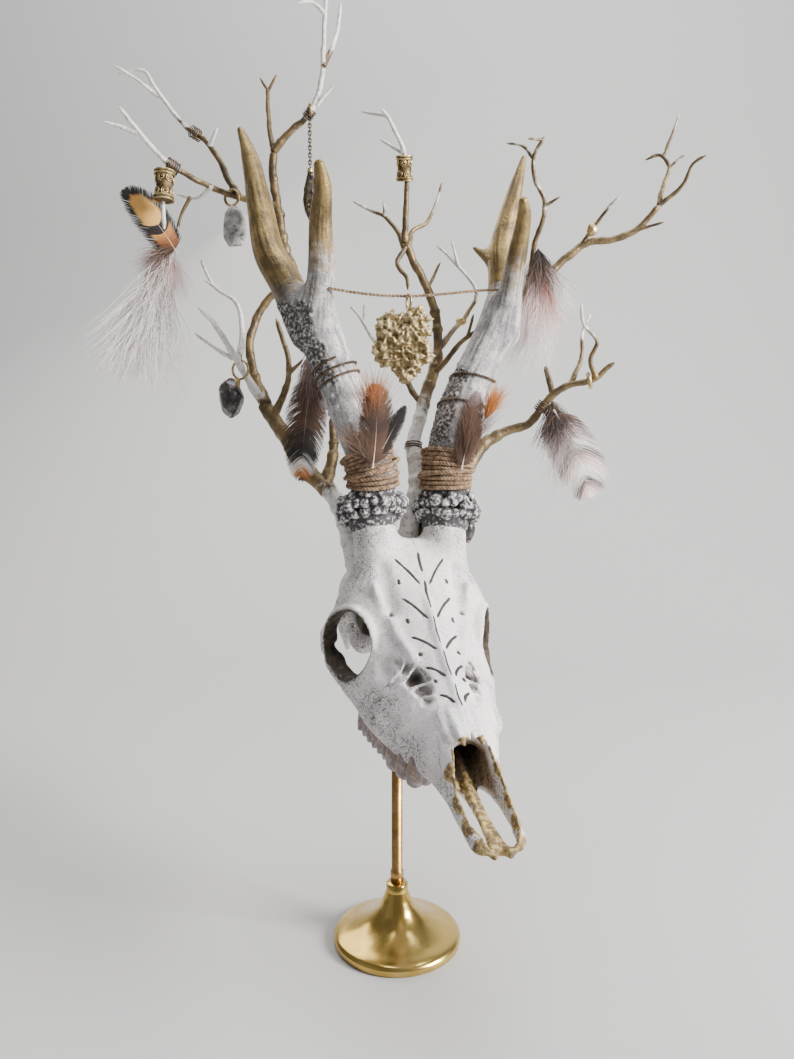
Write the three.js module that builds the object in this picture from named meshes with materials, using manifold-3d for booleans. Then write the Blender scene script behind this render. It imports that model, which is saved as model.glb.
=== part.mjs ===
// Roe deer skull on a brass display stand, dressed with painted branches, twine, feathers
// and small charms. Millimetres, +Z up. The origin is the middle of the stand's underside,
// on the rod's axis, and the nose points towards -Y. Right and left are the animal's own,
// so the right antler stands on the viewer's left.
import * as THREE from 'three';
import { mergeVertices } from 'three/addons/utils/BufferGeometryUtils.js';
import Module from 'manifold-3d';

const wasm = await Module();
wasm.setup();

// Space left between pieces that touch
const GAP = 0.4;

// Stand: a trumpet foot with a short collar, and a rod that ends in a socket under the skull
const BASE_RADIUS = 33;
const BASE_RIM = 4;
const COLLAR_RADIUS = 5.6;
const COLLAR_TOP = 31;
const ROD_RADIUS = 2.8;
const ROD_TOP = 150;
const SOCKET_PLAY = 0.9;

// Pose of the skull: its own origin lies below the front end of the nose, on the chewing plane
const SKULL_PLACE = [40.5, -109.5, 90];
const NOSE_DOWN = 12;
const HEAD_TURN = 16.2;
const HEAD_ROLL = 2.3;

// Skull sizes in its own axes: x to the animal's right, back from the nose tip, up from the
// chewing plane. Each section gives its distance back, its top and lowest heights, its half
// width, the height of its widest line, and how square its roof and floor are (2 is round).
const SKULL_SECTIONS = [
  [4, 14.5, 9.5, 7, 11.5, 2, 2],
  [7, 17, 8, 10.5, 12, 2, 2.2],
  [14, 20.5, 8, 12.6, 13, 2, 2.6],
  [25, 25, 9, 13.4, 15, 2, 3],
  [36, 30, 10, 14, 17, 2, 3],
  [46, 35.5, 10.5, 15, 18, 1.9, 3.2],
  [57, 40.5, 10.5, 19, 20, 1.75, 3.6],
  [72, 46.5, 10, 25, 21, 1.6, 4],
  [88, 53, 9.5, 30.5, 22, 1.55, 4.2],
  [100, 58.5, 9.5, 33.5, 24, 1.6, 4],
  [110, 64.5, 11.5, 36, 28, 1.7, 3.2],
  [118, 70, 16, 39, 34, 1.85, 2.6],
  [126, 76, 21, 41.5, 39, 1.95, 2.2],
  [136, 83, 24, 42.5, 43, 2, 2],
  [145, 87.5, 25, 40.5, 46, 2.1, 2],
  [151, 89, 25, 36, 48, 2.2, 2],
  [158, 88, 25, 31, 50, 2.3, 2.1],
  [168, 83.5, 24, 29.5, 51, 2.2, 2.1],
  [180, 75, 23, 29, 49, 2.1, 2.1],
  [190, 67, 25, 27.5, 46, 2.1, 2.2],
  [198, 60, 31, 24, 44, 2.1, 2.2],
];
const NASAL_CAVITY = [
  [-1, 40, 12, 5, 24, 2, 3],
  [7, 40, 11.5, 7.6, 24, 2, 3],
  [14, 40, 11.5, 10.4, 24, 2, 3],
  [25, 46, 12.5, 11, 26, 2, 3],
  [36, 50, 13, 9.8, 28, 2, 3],
  [44, 54, 13.5, 8, 30, 2, 3],
  [49, 34, 15, 7.6, 25, 2, 3],
  [62, 38, 17, 8, 27, 2, 3],
  [78, 41, 25, 6, 32, 2, 2],
];
const SECTION_POINTS = 16;
const ORBIT_CENTRE = { x: 32, back: 126, up: 43 };
const ORBIT_RIM_RADIUS = 18;
const ORBIT_RIM_THICKNESS = 2.6;
const ORBIT_FACES_FORWARD = 28;
const PEDICLE_ROOT = { x: 17, back: 148, up: 76 };
const PEDICLE_TOP = { x: 20, back: 159, up: 97.5 };
const PEDICLE_RADIUS = 10.8;
const TOOTH_ROW = { front: 61, first: 15, spread: 10.5, length: 53 };
const TOOTH_LENGTHS = [8, 8.5, 9, 11, 11.5, 11];
const TOOTH_HALF_WIDTH = 4.3;
const TOOTH_ROOT = 17;
const TOOTH_SIDES = 5;
const FRONT_TOOTH_LIFT = 3.5;

// Antlers: what leaves each burr, from below upwards, and the radius at each point
const BURR_RADIUS = 15;
const BURR_HEIGHT = 13;
const BURR_PEARL = 3.4;
const BURR_PEARLS = 9;
const RIGHT_ANTLER = {
  beam: [[-13, 12, 246], [-22, 15, 270], [-30, 18, 291], [-37, 20, 309], [-44, 21, 328]],
  beamRadii: [11.4, 11.2, 10.8, 10.6, 11, 11.5],
  front: [[-42, 19, 322], [-38, 13, 343], [-37, 2, 365], [-35, -8, 379], [-36, -14, 387]],
  frontRadii: [8, 6.8, 5.3, 3.6, 1],
  rear: [[-46, 22, 322], [-57, 27, 340], [-67, 34, 358], [-73, 43, 384], [-79, 50, 411], [-85, 55, 430]],
  rearRadii: [9, 8.8, 8.3, 7, 4.6, 1],
};
const LEFT_ANTLER = {
  beam: [[26, 26, 243], [32, 30, 272], [41, 34, 294], [50, 37, 314], [56, 39, 330]],
  beamRadii: [11.4, 11.2, 11.4, 10.6, 10, 9.8],
  front: [[58, 37, 326], [60, 31, 341], [62, 21, 358], [63, 11, 372], [62, 7, 377]],
  frontRadii: [7.6, 5.8, 4.8, 3, 1],
  rear: [[57, 42, 326], [57, 47, 345], [57, 53, 363], [61, 58, 382], [66, 63, 400], [71, 68, 420]],
  rearRadii: [8.4, 7.6, 6.9, 5.4, 4, 0.9],
  spike: [[57, 52, 358], [49, 56, 362], [43, 60, 368]],
  spikeRadii: [5, 3, 0.8],
};

// Lumps round the edge of the crusted pendant
const PENDANT_LUMPS = 5;

// Twine round each antler foot, and the string between the antlers
const BINDING_RADIUS = 13.4;
const BINDING_TURN = 6.2;
const BINDING_TURNS = 3;
const BINDING_FOOT = 17;
const STRING_RADIUS = 0.9;
const STRING_ROUTE = [
  [-34, 9, 335], [-27.5, 10.6, 334.2], [-21, 12.3, 333.5], [-14, 14, 333], [-7, 15.8, 332.7],
  [-0.5, 17.4, 332.8], [6, 19, 333], [12, 20.6, 333.5], [18, 22.3, 334.2], [24, 24, 335],
  [31, 26.1, 336.1], [37.5, 28.1, 337.1], [44, 30, 338], [50.5, 31.6, 338.6], [57, 33, 339],
];

// Branch roots on the back of the skull, in the skull's own axes
const ROOTS = {
  right: { x: 20, back: 178, up: 60 },
  tall: { x: 8, back: 172, up: 74 },
  middle: { x: -1, back: 166, up: 80 },
  left: { x: -8, back: 173, up: 74 },
  leftLow: { x: -19, back: 176, up: 62 },
};

// Looks
function paint(color, roughness, metalness) {
  return new THREE.MeshStandardMaterial({ color, roughness, metalness });
}

const BONE = paint(0xe6e1dd, 0.75, 0);
const ANTLER = paint(0xb9b2ab, 0.7, 0);
const GILT = paint(0x8f7440, 0.45, 0.7);
const BRASS = paint(0xb8923c, 0.28, 1);
const COPPER = paint(0x96642f, 0.3, 1);
const TWINE = paint(0x8a6b4a, 0.95, 0);
const TWIG = paint(0x8d7a5c, 0.6, 0.3);
const WHITE_TWIG = paint(0xe4e2de, 0.7, 0);
const DARK = paint(0x1f1d1c, 0.3, 0.1);
const CRYSTAL = paint(0xb9bab8, 0.25, 0);
const PLUME = paint(0xe9ddd8, 0.9, 0);
const BROWN_PLUME = paint(0x6b4a3a, 0.9, 0);

// Vectors and the skull's frame
const vec = (p) => new THREE.Vector3(...p);
const radians = THREE.MathUtils.degToRad;
const head = new THREE.Group();
head.position.set(...SKULL_PLACE);
head.rotation.set(radians(-NOSE_DOWN), radians(-HEAD_ROLL), radians(180 + HEAD_TURN), 'ZXY');
head.updateMatrix();
const headInverse = head.matrix.clone().invert();
const inSkull = ({ x, back, up }) => new THREE.Vector3(x, -back, up);
const fromSkull = (place) => inSkull(place).applyMatrix4(head.matrix);

// A small repeatable source of numbers from 0 to 1
function seeded(seed) {
  let state = seed;
  return () => {
    state = (state * 16807) % 2147483647;
    return state / 2147483647;
  };
}

// From a geometry to a solid and back
function toSolid(geometry) {
  const bare = geometry.clone();
  bare.deleteAttribute('normal');
  bare.deleteAttribute('uv');
  const merged = mergeVertices(bare, 1e-4);
  const vertProperties = new Float32Array(merged.attributes.position.array);
  const triVerts = new Uint32Array(merged.index.array);
  return new wasm.Manifold(new wasm.Mesh({ numProp: 3, vertProperties, triVerts }));
}

function toGeometry(solid) {
  const mesh = solid.getMesh();
  const geometry = new THREE.BufferGeometry();
  geometry.setAttribute('position', new THREE.BufferAttribute(new Float32Array(mesh.vertProperties), 3));
  geometry.setIndex(new THREE.BufferAttribute(new Uint32Array(mesh.triVerts), 1));
  geometry.computeVertexNormals();
  return geometry;
}

function largest(solid) {
  const bodies = solid.decompose();
  return bodies.reduce((best, body) => (body.volume() > best.volume() ? body : best));
}

const joined = (solids) => solids.reduce((whole, solid) => whole.add(solid));

// The same solid with its skin moved out by a distance
function grown(solid, distance) {
  const geometry = toGeometry(solid);
  const { position, normal } = geometry.attributes;
  const point = new THREE.Vector3();
  const away = new THREE.Vector3();
  for (let i = 0; i < position.count; i += 1) {
    point.fromBufferAttribute(position, i);
    away.fromBufferAttribute(normal, i);
    point.addScaledVector(away, distance);
    position.setXYZ(i, point.x, point.y, point.z);
  }
  return toSolid(geometry);
}

// A closed skin over points and triangles, turned so that its faces point out
function closedSkin(points, index) {
  let volume = 0;
  for (let i = 0; i < index.length; i += 3) {
    const [a, b, c] = [points[index[i]], points[index[i + 1]], points[index[i + 2]]];
    volume += a.dot(b.clone().cross(c));
  }
  const turned = volume < 0 ? index.slice().reverse() : index;
  const geometry = new THREE.BufferGeometry().setFromPoints(points);
  geometry.setIndex(turned);
  return geometry;
}

// A closed loft through rings of equal count, each end drawn to its own middle point
function loft(rings, startPoint, endPoint) {
  const sides = rings[0].length;
  const points = rings.flat();
  const first = points.push(startPoint) - 1;
  const last = points.push(endPoint) - 1;
  const index = [];
  for (let s = 0; s < sides; s += 1) {
    const next = (s + 1) % sides;
    index.push(first, next, s);
    for (let r = 0; r < rings.length - 1; r += 1) {
      const [a, b] = [r * sides + s, r * sides + next];
      index.push(a, b, b + sides, a, b + sides, a + sides);
    }
    const top = (rings.length - 1) * sides;
    index.push(last, top + s, top + next);
  }
  return toSolid(closedSkin(points, index));
}

// A tapered round tube along a smooth curve; pointed lengthens its far end to a blunt point
function tube(path, radii, { sides = 8, steps = 2, pointed = 0.7 } = {}) {
  const curve = new THREE.CatmullRomCurve3(path, false, 'centripetal');
  const count = (path.length - 1) * steps;
  const rings = [];
  let across = new THREE.Vector3(0.31, 0.87, 0.19);
  for (let i = 0; i <= count; i += 1) {
    const along = curve.getTangent(i / count);
    across = across.clone().addScaledVector(along, -across.dot(along)).normalize();
    const aside = along.clone().cross(across);
    const spot = (i / count) * (radii.length - 1);
    const low = Math.min(Math.floor(spot), radii.length - 2);
    const radius = THREE.MathUtils.lerp(radii[low], radii[low + 1], spot - low);
    const centre = curve.getPoint(i / count);
    const ring = [];
    for (let s = 0; s < sides; s += 1) {
      const angle = (2 * Math.PI * s) / sides;
      const out = across.clone().multiplyScalar(Math.cos(angle)).addScaledVector(aside, Math.sin(angle));
      ring.push(centre.clone().addScaledVector(out, radius));
    }
    rings.push(ring);
  }
  const end = curve.getPoint(1).addScaledVector(curve.getTangent(1), pointed * radii.at(-1));
  return loft(rings, curve.getPoint(0), end);
}

function ball(centre, radii, turn = [0, 0, 0], detail = [8, 5]) {
  const geometry = new THREE.SphereGeometry(1, ...detail);
  geometry.scale(...radii);
  geometry.applyMatrix4(new THREE.Matrix4().makeRotationFromEuler(new THREE.Euler(...turn)));
  geometry.translate(centre.x, centre.y, centre.z);
  return toSolid(geometry);
}

// A rough faceted lump
function lump(centre, radii, random, detail = 1) {
  const split = new THREE.IcosahedronGeometry(1, detail);
  const geometry = mergeVertices(split.deleteAttribute('normal').deleteAttribute('uv'));
  const { position } = geometry.attributes;
  for (let i = 0; i < position.count; i += 1) {
    const swell = 0.82 + 0.3 * random();
    position.setXYZ(i, position.getX(i) * swell, position.getY(i) * swell, position.getZ(i) * swell);
  }
  geometry.scale(...radii);
  geometry.translate(centre.x, centre.y, centre.z);
  return toSolid(geometry);
}

// A flat ring: its axis points along a direction
function ring(centre, axis, radius, thickness, sides = 6, steps = 14) {
  const geometry = new THREE.TorusGeometry(radius, thickness, sides, steps);
  const flat = new THREE.Vector3(0, 0, 1);
  geometry.applyQuaternion(new THREE.Quaternion().setFromUnitVectors(flat, axis.clone().normalize()));
  geometry.translate(centre.x, centre.y, centre.z);
  return toSolid(geometry);
}

// A round solid turned from a half outline of [radius, height] pairs, standing on a point
function turned(outline, sides, foot = new THREE.Vector3(), axis = new THREE.Vector3(0, 0, 1)) {
  const profile = outline.map(([radius, height]) => new THREE.Vector2(radius, height));
  const geometry = new THREE.LatheGeometry(profile, sides);
  geometry.applyQuaternion(new THREE.Quaternion().setFromUnitVectors(new THREE.Vector3(0, 1, 0), axis));
  geometry.translate(foot.x, foot.y, foot.z);
  return toSolid(geometry);
}

// Every solid placed so far, so that the next one is cut clear of it
const placed = [];
const model = new THREE.Group();
const apart = (a, b, axis) => a.max[axis] + GAP < b.min[axis] || b.max[axis] + GAP < a.min[axis];

function place(name, solid, look) {
  let body = solid;
  for (const other of placed) {
    const near = ![0, 1, 2].some((axis) => apart(body.boundingBox(), other.box, axis));
    if (near) body = body.subtract(other.grown);
  }
  body = largest(body);
  placed.push({ box: solid.boundingBox(), grown: grown(solid, GAP) });
  const mesh = new THREE.Mesh(toGeometry(body), look);
  mesh.name = name;
  model.add(mesh);
}

// Skull

function sectionRing([back, top, low, half, widest, roof, floor]) {
  const ringPoints = [];
  for (let i = 0; i < SECTION_POINTS; i += 1) {
    const angle = (2 * Math.PI * i) / SECTION_POINTS;
    const [c, s] = [Math.cos(angle), Math.sin(angle)];
    const square = s >= 0 ? roof : floor;
    const reach = s >= 0 ? top - widest : widest - low;
    const x = half * Math.sign(c) * Math.abs(c) ** (2 / square);
    const up = widest + reach * Math.sign(s) * Math.abs(s) ** (2 / square);
    ringPoints.push(new THREE.Vector3(x, -back, up));
  }
  return ringPoints;
}

function sectionLoft(sections) {
  const middle = ([back, top, low]) => new THREE.Vector3(0, -back, (top + low) / 2);
  return loft(sections.map(sectionRing), middle(sections[0]), middle(sections.at(-1)));
}

// A thin upright plate on a line fore and aft, from a few [back, up] corners
function uprightPlate(x, thickness, corners) {
  const shape = new THREE.Shape(corners.map(([back, up]) => new THREE.Vector2(-back, up)));
  const geometry = new THREE.ExtrudeGeometry(shape, { depth: thickness, bevelEnabled: false });
  const upright = new THREE.Matrix4().set(0, 0, 1, 0, 1, 0, 0, 0, 0, 1, 0, 0, 0, 0, 0, 1);
  geometry.applyMatrix4(upright);
  geometry.translate(x - thickness / 2, 0, 0);
  return toSolid(geometry);
}

// One cheek tooth: each lobe is a tapered crown with a cusp, its root sunk in the jaw
function tooth(side, middleBack, length, lobes) {
  const share = (middleBack - TOOTH_ROW.front) / TOOTH_ROW.length;
  const x = side * (TOOTH_ROW.first + TOOTH_ROW.spread * share ** 0.85);
  const lift = FRONT_TOOTH_LIFT * (1 - share) ** 2;
  const levels = [[TOOTH_ROOT, 0.85], [2.5 + lift, 1.05]];
  const parts = [];
  for (let lobe = 0; lobe < lobes; lobe += 1) {
    const back = middleBack + (lobe - (lobes - 1) / 2) * (length / lobes);
    const halfLength = (0.56 * length) / lobes;
    const rings = levels.map(([up, swell]) => {
      const ringPoints = [];
      for (let s = 0; s < TOOTH_SIDES; s += 1) {
        const angle = (2 * Math.PI * s) / TOOTH_SIDES;
        const outward = TOOTH_HALF_WIDTH * (0.8 + 0.3 * share) * swell * Math.cos(angle);
        const along = halfLength * swell * Math.sin(angle);
        ringPoints.push(new THREE.Vector3(x + side * outward, along - back, up));
      }
      return ringPoints;
    });
    const root = new THREE.Vector3(x, -back, TOOTH_ROOT);
    const cusp = new THREE.Vector3(x + side * 1.6, -back, lift - 0.6);
    parts.push(loft(rings, root, cusp));
  }
  return joined(parts);
}

function teeth(side) {
  let back = TOOTH_ROW.front - TOOTH_LENGTHS[0] / 2;
  const row = TOOTH_LENGTHS.map((length, i) => {
    const lobes = i < 5 ? 1 : 2;
    const one = tooth(side, back + length / 2, length, lobes);
    back += length;
    return one;
  });
  return joined(row);
}

function skullSide(side) {
  const spot = (x, back, up) => new THREE.Vector3(side * x, -back, up);
  const { x, back, up } = ORBIT_CENTRE;
  const faceOut = spot(Math.cos(radians(ORBIT_FACES_FORWARD)), -Math.sin(radians(ORBIT_FACES_FORWARD)), 0.12);
  const orbitTurn = [0, 0, side * radians(ORBIT_FACES_FORWARD)];
  const cuts = [
    ball(spot(x, back, up), [26, 17, 16.5], orbitTurn, [12, 7]),
    ball(spot(31, 152, 45), [7.6, 20, 15]),
    ball(spot(24, 152, 24), [16, 34, 14]),
    ball(spot(6, 21.5, 9), [4.3, 15, 9], [0, 0, side * 0.06]),
    ball(spot(15, 85, 46), [3.6, 9, 5], [0.5, 0, 0], [6, 5]),
  ];
  const pedicle = [PEDICLE_ROOT, PEDICLE_TOP].map((p) => spot(p.x, p.back, p.up));
  const adds = [
    ring(spot(x + 2, back, up), faceOut, ORBIT_RIM_RADIUS, ORBIT_RIM_THICKNESS, 5, 13),
    tube([spot(39, 136, 29), spot(41.5, 148, 30), spot(40, 160, 33), spot(33, 171, 37), spot(25, 178, 41)],
      [3.6, 3.2, 3.2, 4, 5], { steps: 1 }),
    tube([spot(28, 96, 22), spot(35, 114, 25), spot(39.5, 134, 29)], [4, 5, 4.4], { steps: 1 }),
    tube(pedicle, [PEDICLE_RADIUS + 2, PEDICLE_RADIUS], { sides: 12, steps: 1, pointed: 0 }),
    ball(spot(14, 178, 21), [7.5, 10, 8], [0, 0, 0], [6, 5]),
    tube([spot(21, 188, 34), spot(21, 192, 22), spot(19, 191, 10)], [6, 4.5, 1.6], { sides: 7, steps: 1 }),
    ball(spot(10.5, 199, 35), [7.5, 7, 9], [0, 0, 0], [6, 5]),
    uprightPlate(side * 8.6, 1.8, [[117, 24], [119, 14], [128, 13], [136, 17], [141, 27]]),
    tube([spot(4.8, 57, 38.4), spot(4.6, 50, 36.6), spot(4, 43.5, 35)], [3.4, 2.8, 1],
      { sides: 7, steps: 1 }),
    teeth(side),
  ];
  return { cuts, adds };
}

function skull() {
  const sides = [1, -1].map(skullSide);
  const vomer = uprightPlate(0, 2, [[14, 9.5], [20, 13], [44, 19], [74, 30], [74, 12], [14, 8]]);
  const crest = ball(new THREE.Vector3(0, -196, 58), [22, 3.4, 5], [0.2, 0, 0]);
  const middleCuts = [
    sectionLoft(NASAL_CAVITY),
    ball(new THREE.Vector3(0, 0.5, 12), [2.2, 8, 9]),
    ball(new THREE.Vector3(0, -86, 7), [10.5, 38, 7]),
    ball(new THREE.Vector3(0, -203, 42), [9, 16, 8.5]),
  ];
  const rodLine = [ROD_TOP - 60, ROD_TOP].map((z) => new THREE.Vector3(0, 0, z).applyMatrix4(headInverse));
  const socket = tube(rodLine, [ROD_RADIUS + SOCKET_PLAY, ROD_RADIUS + SOCKET_PLAY],
    { sides: 10, steps: 1, pointed: 0.5 });
  const cuts = [...middleCuts, ...sides.flatMap((one) => one.cuts)];
  const carved = cuts.reduce((whole, cut) => whole.subtract(cut), sectionLoft(SKULL_SECTIONS));
  return largest(joined([carved, vomer, crest, ...sides.flatMap((one) => one.adds)]).subtract(socket));
}

function placeSkull() {
  const bone = skull();
  const mesh = new THREE.Mesh(toGeometry(bone), BONE);
  mesh.name = 'skull';
  head.add(mesh);
  model.add(head);
  const standing = toSolid(toGeometry(bone).applyMatrix4(head.matrix));
  placed.push({ box: standing.boundingBox(), grown: grown(standing, GAP) });
}

// Stand

function placeStand() {
  const foot = [
    [0, 0], [BASE_RADIUS - 0.8, 0], [BASE_RADIUS, 0.8], [BASE_RADIUS, BASE_RIM - 0.6],
    [31.6, 4.9], [25, 7.2], [17, 11.2], [11.2, 16], [7.6, 22],
    [COLLAR_RADIUS, 27], [COLLAR_RADIUS, COLLAR_TOP], [0, COLLAR_TOP],
  ];
  place('stand_base', turned(foot, 24), BRASS);
  const rod = [[0, COLLAR_TOP + GAP], [ROD_RADIUS, COLLAR_TOP + GAP], [ROD_RADIUS, ROD_TOP], [0, ROD_TOP]];
  place('stand_rod', turned(rod, 10), COPPER);
}

// Antlers: beam with its pearled burr, then the tines that fork from it

function placeAntler(name, side, { beam, beamRadii, front, frontRadii, rear, rearRadii, spike, spikeRadii }) {
  const sideOf = (p) => fromSkull({ ...p, x: side * p.x });
  const axis = sideOf(PEDICLE_TOP).sub(sideOf(PEDICLE_ROOT)).normalize();
  const foot = sideOf(PEDICLE_TOP).addScaledVector(axis, GAP);
  const shaft = tube([foot, ...beam.map(vec)], beamRadii, { sides: 9, pointed: 0.3 });
  const half = BURR_HEIGHT / 2;
  const burrOutline = [
    [0, 0], [BURR_RADIUS - 3, 0], [BURR_RADIUS, half], [BURR_RADIUS - 2, BURR_HEIGHT], [0, BURR_HEIGHT],
  ];
  const burr = turned(burrOutline, 12, foot, axis);
  const random = seeded(side > 0 ? 71 : 97);
  const sideways = new THREE.Vector3(1, 0, 0).addScaledVector(axis, -axis.x).normalize();
  const pearls = [];
  for (let i = 0; i < BURR_PEARLS; i += 1) {
    const level = half * (i % 2 === 0 ? 0.62 : 1.5);
    const out = sideways.clone().applyAxisAngle(axis, (2 * Math.PI * (i + 0.4 * random())) / BURR_PEARLS);
    const centre = foot.clone().addScaledVector(axis, level).addScaledVector(out, BURR_RADIUS - 0.6);
    const size = BURR_PEARL * (0.85 + 0.4 * random());
    pearls.push(lump(centre, [size, size, size], random, 0));
  }
  const beamCurve = new THREE.CatmullRomCurve3([foot, ...beam.map(vec)], false, 'centripetal');
  const inward = new THREE.Vector3(-side, 0.5, 0);
  for (let i = 0; i < 2; i += 1) {
    const spot = beamCurve.getPoint(0.55 + 0.2 * i).addScaledVector(inward, 8.6);
    pearls.push(lump(spot, [3, 3, 3.6], random, 0));
  }
  const ground = foot.clone().addScaledVector(axis, -50);
  const above = turned([[0, 50], [90, 50], [90, 220], [0, 220]], 4, ground, axis);
  place(`${name}_antler_beam`, joined([shaft, burr, ...pearls]).intersect(above), ANTLER);
  place(`${name}_antler_front_tine`, tube(front.map(vec), frontRadii, { sides: 7 }), GILT);
  const rearTine = tube(rear.map(vec), rearRadii, { sides: 8 });
  const whole = spike ? rearTine.add(tube(spike.map(vec), spikeRadii, { sides: 6, steps: 1 })) : rearTine;
  place(`${name}_antler_rear_tine`, whole, GILT);
  placeBinding(name, beamCurve);
}

// Twine wound round the antler's foot, each turn a rounded swelling
function placeBinding(name, beamCurve) {
  const length = beamCurve.getLength();
  const path = [];
  const radii = [];
  for (let i = 0; i <= 2 * BINDING_TURNS; i += 1) {
    path.push(beamCurve.getPointAt((BINDING_FOOT + (i * BINDING_TURN) / 2) / length));
    radii.push(i % 2 === 0 ? BINDING_RADIUS - 0.7 : BINDING_RADIUS);
  }
  place(`${name}_binding`, tube(path, radii, { sides: 9, steps: 1, pointed: 0 }), TWINE);
}

// Branches: each limb is a tapered tube, and twigs are joined to the limb they leave

const limb = (points, thick, thin, sides = 5) => tube(
  points.map((p) => (p.isVector3 ? p : vec(p))),
  [thick, 0.45 * thick + 0.55 * thin, 0.2 * thick + 0.8 * thin, thin],
  { sides, steps: 1 },
);

function placeBranch(name, look, limbs) {
  place(name, joined(limbs), look);
}

function placeRightBranches() {
  const fork = [-75, 52, 282];
  placeBranch('branch_right_stem', TWIG, [
    limb([fromSkull(ROOTS.right), [-25, 36, 207], [-35, 42, 230], [-51, 48, 245], [-62, 50, 263], fork],
      6.2, 4, 7),
    limb([[-40, 44, 234], [-35, 50, 255], [-36, 53, 274]], 4, 2.6),
  ]);
  placeBranch('branch_right_outer', WHITE_TWIG, [
    limb([fork, [-85, 48, 299], [-97, 40, 321], [-106, 36, 331]], 3.2, 1.3),
    limb([[-90, 46, 305], [-100, 48, 311], [-111, 50, 319]], 2, 0.9),
    limb([[-87, 47, 302], [-86, 54, 321], [-89, 58, 336], [-103, 63, 347], [-111, 66, 362]], 2.3, 0.9),
    limb([[-100, 62, 345], [-108, 61, 350]], 1.4, 0.8),
  ]);
  placeBranch('branch_right_rear', TWIG, [
    limb([[-73, 52, 280], [-81, 58, 300], [-83, 62, 318], [-74, 64, 338], [-60, 62, 350]], 3.4, 2.4),
  ]);
  placeBranch('branch_right_inner', TWIG, [
    limb([[-69, 50, 272], [-61, 48, 289], [-59, 46, 298], [-62, 44, 315], [-65, 42, 326]], 2.8, 1.3),
    limb([[-59, 46, 297], [-51, 43, 304]], 1.6, 0.9),
  ]);
}

function placeTallBranch() {
  const fork = [-69, 68, 422];
  placeBranch('branch_tall_stem', TWIG, [
    limb([fromSkull(ROOTS.tall), [-6, 42, 222], [-18, 50, 252], [-36, 58, 298], [-53, 63, 340],
      [-62, 65, 365], [-67, 66, 390], [-70, 68, 412], fork], 5, 2.6, 7),
    limb([[-69, 68, 418], [-73, 74, 446], [-73, 77, 460]], 2, 1.2),
    limb([[-73, 77, 458], [-78, 79, 466]], 1.1, 0.8),
    limb([[-73, 77, 458], [-68, 76, 466]], 1.1, 0.8),
  ]);
  placeBranch('branch_tall_top', WHITE_TWIG, [
    limb([fork, [-59, 66, 432], [-49, 63, 439], [-43, 60, 449], [-40, 57, 463], [-39, 53, 480],
      [-37, 48, 500]], 2.6, 1.2),
    limb([[-40, 57, 462], [-34, 62, 478], [-31, 67, 500]], 2, 1),
    limb([[-44, 61, 444], [-34, 58, 453]], 1.5, 0.8),
    limb([[-39, 51, 486], [-45, 48, 490], [-52, 45, 488]], 1.3, 0.8),
  ]);
  placeBranch('branch_high_right', TWIG, [
    limb([[-68, 66, 391], [-83, 62, 394], [-102, 53, 398], [-122, 41, 407], [-134, 32, 419],
      [-141, 26, 428]], 2.9, 1.1),
    limb([[-134, 32, 418], [-150, 28, 422]], 1.5, 0.9),
    limb([[-101, 53, 397], [-110, 57, 393], [-122, 60, 396]], 1.6, 0.9),
    limb([[-114, 58, 394], [-120, 58, 382], [-121, 55, 366]], 1.3, 0.8),
    limb([[-121, 42, 405], [-123, 40, 394], [-124, 41, 372]], 1.8, 1.2, 6),
  ]);
  placeBranch('branch_high_right_upper', WHITE_TWIG, [
    limb([[-88, 60, 395], [-93, 62, 404], [-105, 66, 425], [-119, 68, 436], [-137, 72, 460],
      [-142, 73, 467], [-157, 75, 466]], 2.6, 0.9),
    limb([[-133, 71, 452], [-143, 68, 459], [-156, 65, 466]], 1.5, 0.8),
    limb([[-104, 66, 424], [-99, 62, 432]], 1.5, 1),
  ]);
}

function placeMiddleBranches() {
  const fork = [4, 62, 371];
  placeBranch('branch_middle_stem', TWIG, [
    limb([fromSkull(ROOTS.middle), [11, 39, 234], [9, 46, 257], [15, 53, 281], [23, 62, 311],
      [20, 66, 339], [8, 64, 364], fork], 5.6, 2.3, 7),
    limb([[19, 58, 297], [26, 56, 303], [33, 54, 312], [44, 50, 321]], 2.6, 1.4),
    limb([[39, 51, 317], [42, 49, 329]], 1.3, 0.8),
    limb([[17, 66, 347], [25, 72, 362]], 1.4, 0.8),
  ]);
  placeBranch('branch_middle_top', TWIG, [
    limb([fork, [5, 58, 389], [4, 50, 413], [-2, 44, 426], [-8, 40, 433]], 2.4, 1),
    limb([[-6, 42, 430], [-19, 46, 434]], 1.1, 0.8),
    limb([[3, 49, 414], [-9, 54, 423]], 1.1, 0.8),
  ]);
  placeBranch('branch_middle_right', TWIG, [
    limb([[4, 62, 367], [1, 65, 376], [-7, 70, 387], [-15, 73, 391], [-25, 76, 397]], 2, 0.9),
    limb([[-7, 70, 387], [-8, 72, 396]], 1.2, 0.8),
  ]);
  placeBranch('branch_middle_left', TWIG, [
    limb([[6, 63, 367], [9, 67, 378], [17, 71, 384], [21, 74, 393], [26, 78, 408]], 2, 0.9),
  ]);
  placeBranch('branch_middle_front', TWIG, [
    limb([[5, 62, 368], [0, 58, 358], [5, 55, 350], [6, 53, 343]], 1.8, 1.1),
  ]);
  placeBranch('branch_middle_rear', WHITE_TWIG, [
    limb([[23, 62, 312], [32, 68, 323], [41, 75, 334], [46, 80, 348], [34, 86, 365], [24, 90, 376]],
      2.2, 0.9),
    limb([[36, 85, 363], [32, 88, 379]], 1.1, 0.8),
  ]);
  placeBranch('branch_middle_low', WHITE_TWIG, [
    limb([[14, 53, 280], [2, 64, 300], [-13, 72, 318], [-21, 76, 331], [-27, 79, 339]], 2.2, 0.9),
    limb([[-19, 75, 327], [-19, 77, 340]], 1.1, 0.8),
  ]);
}

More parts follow.
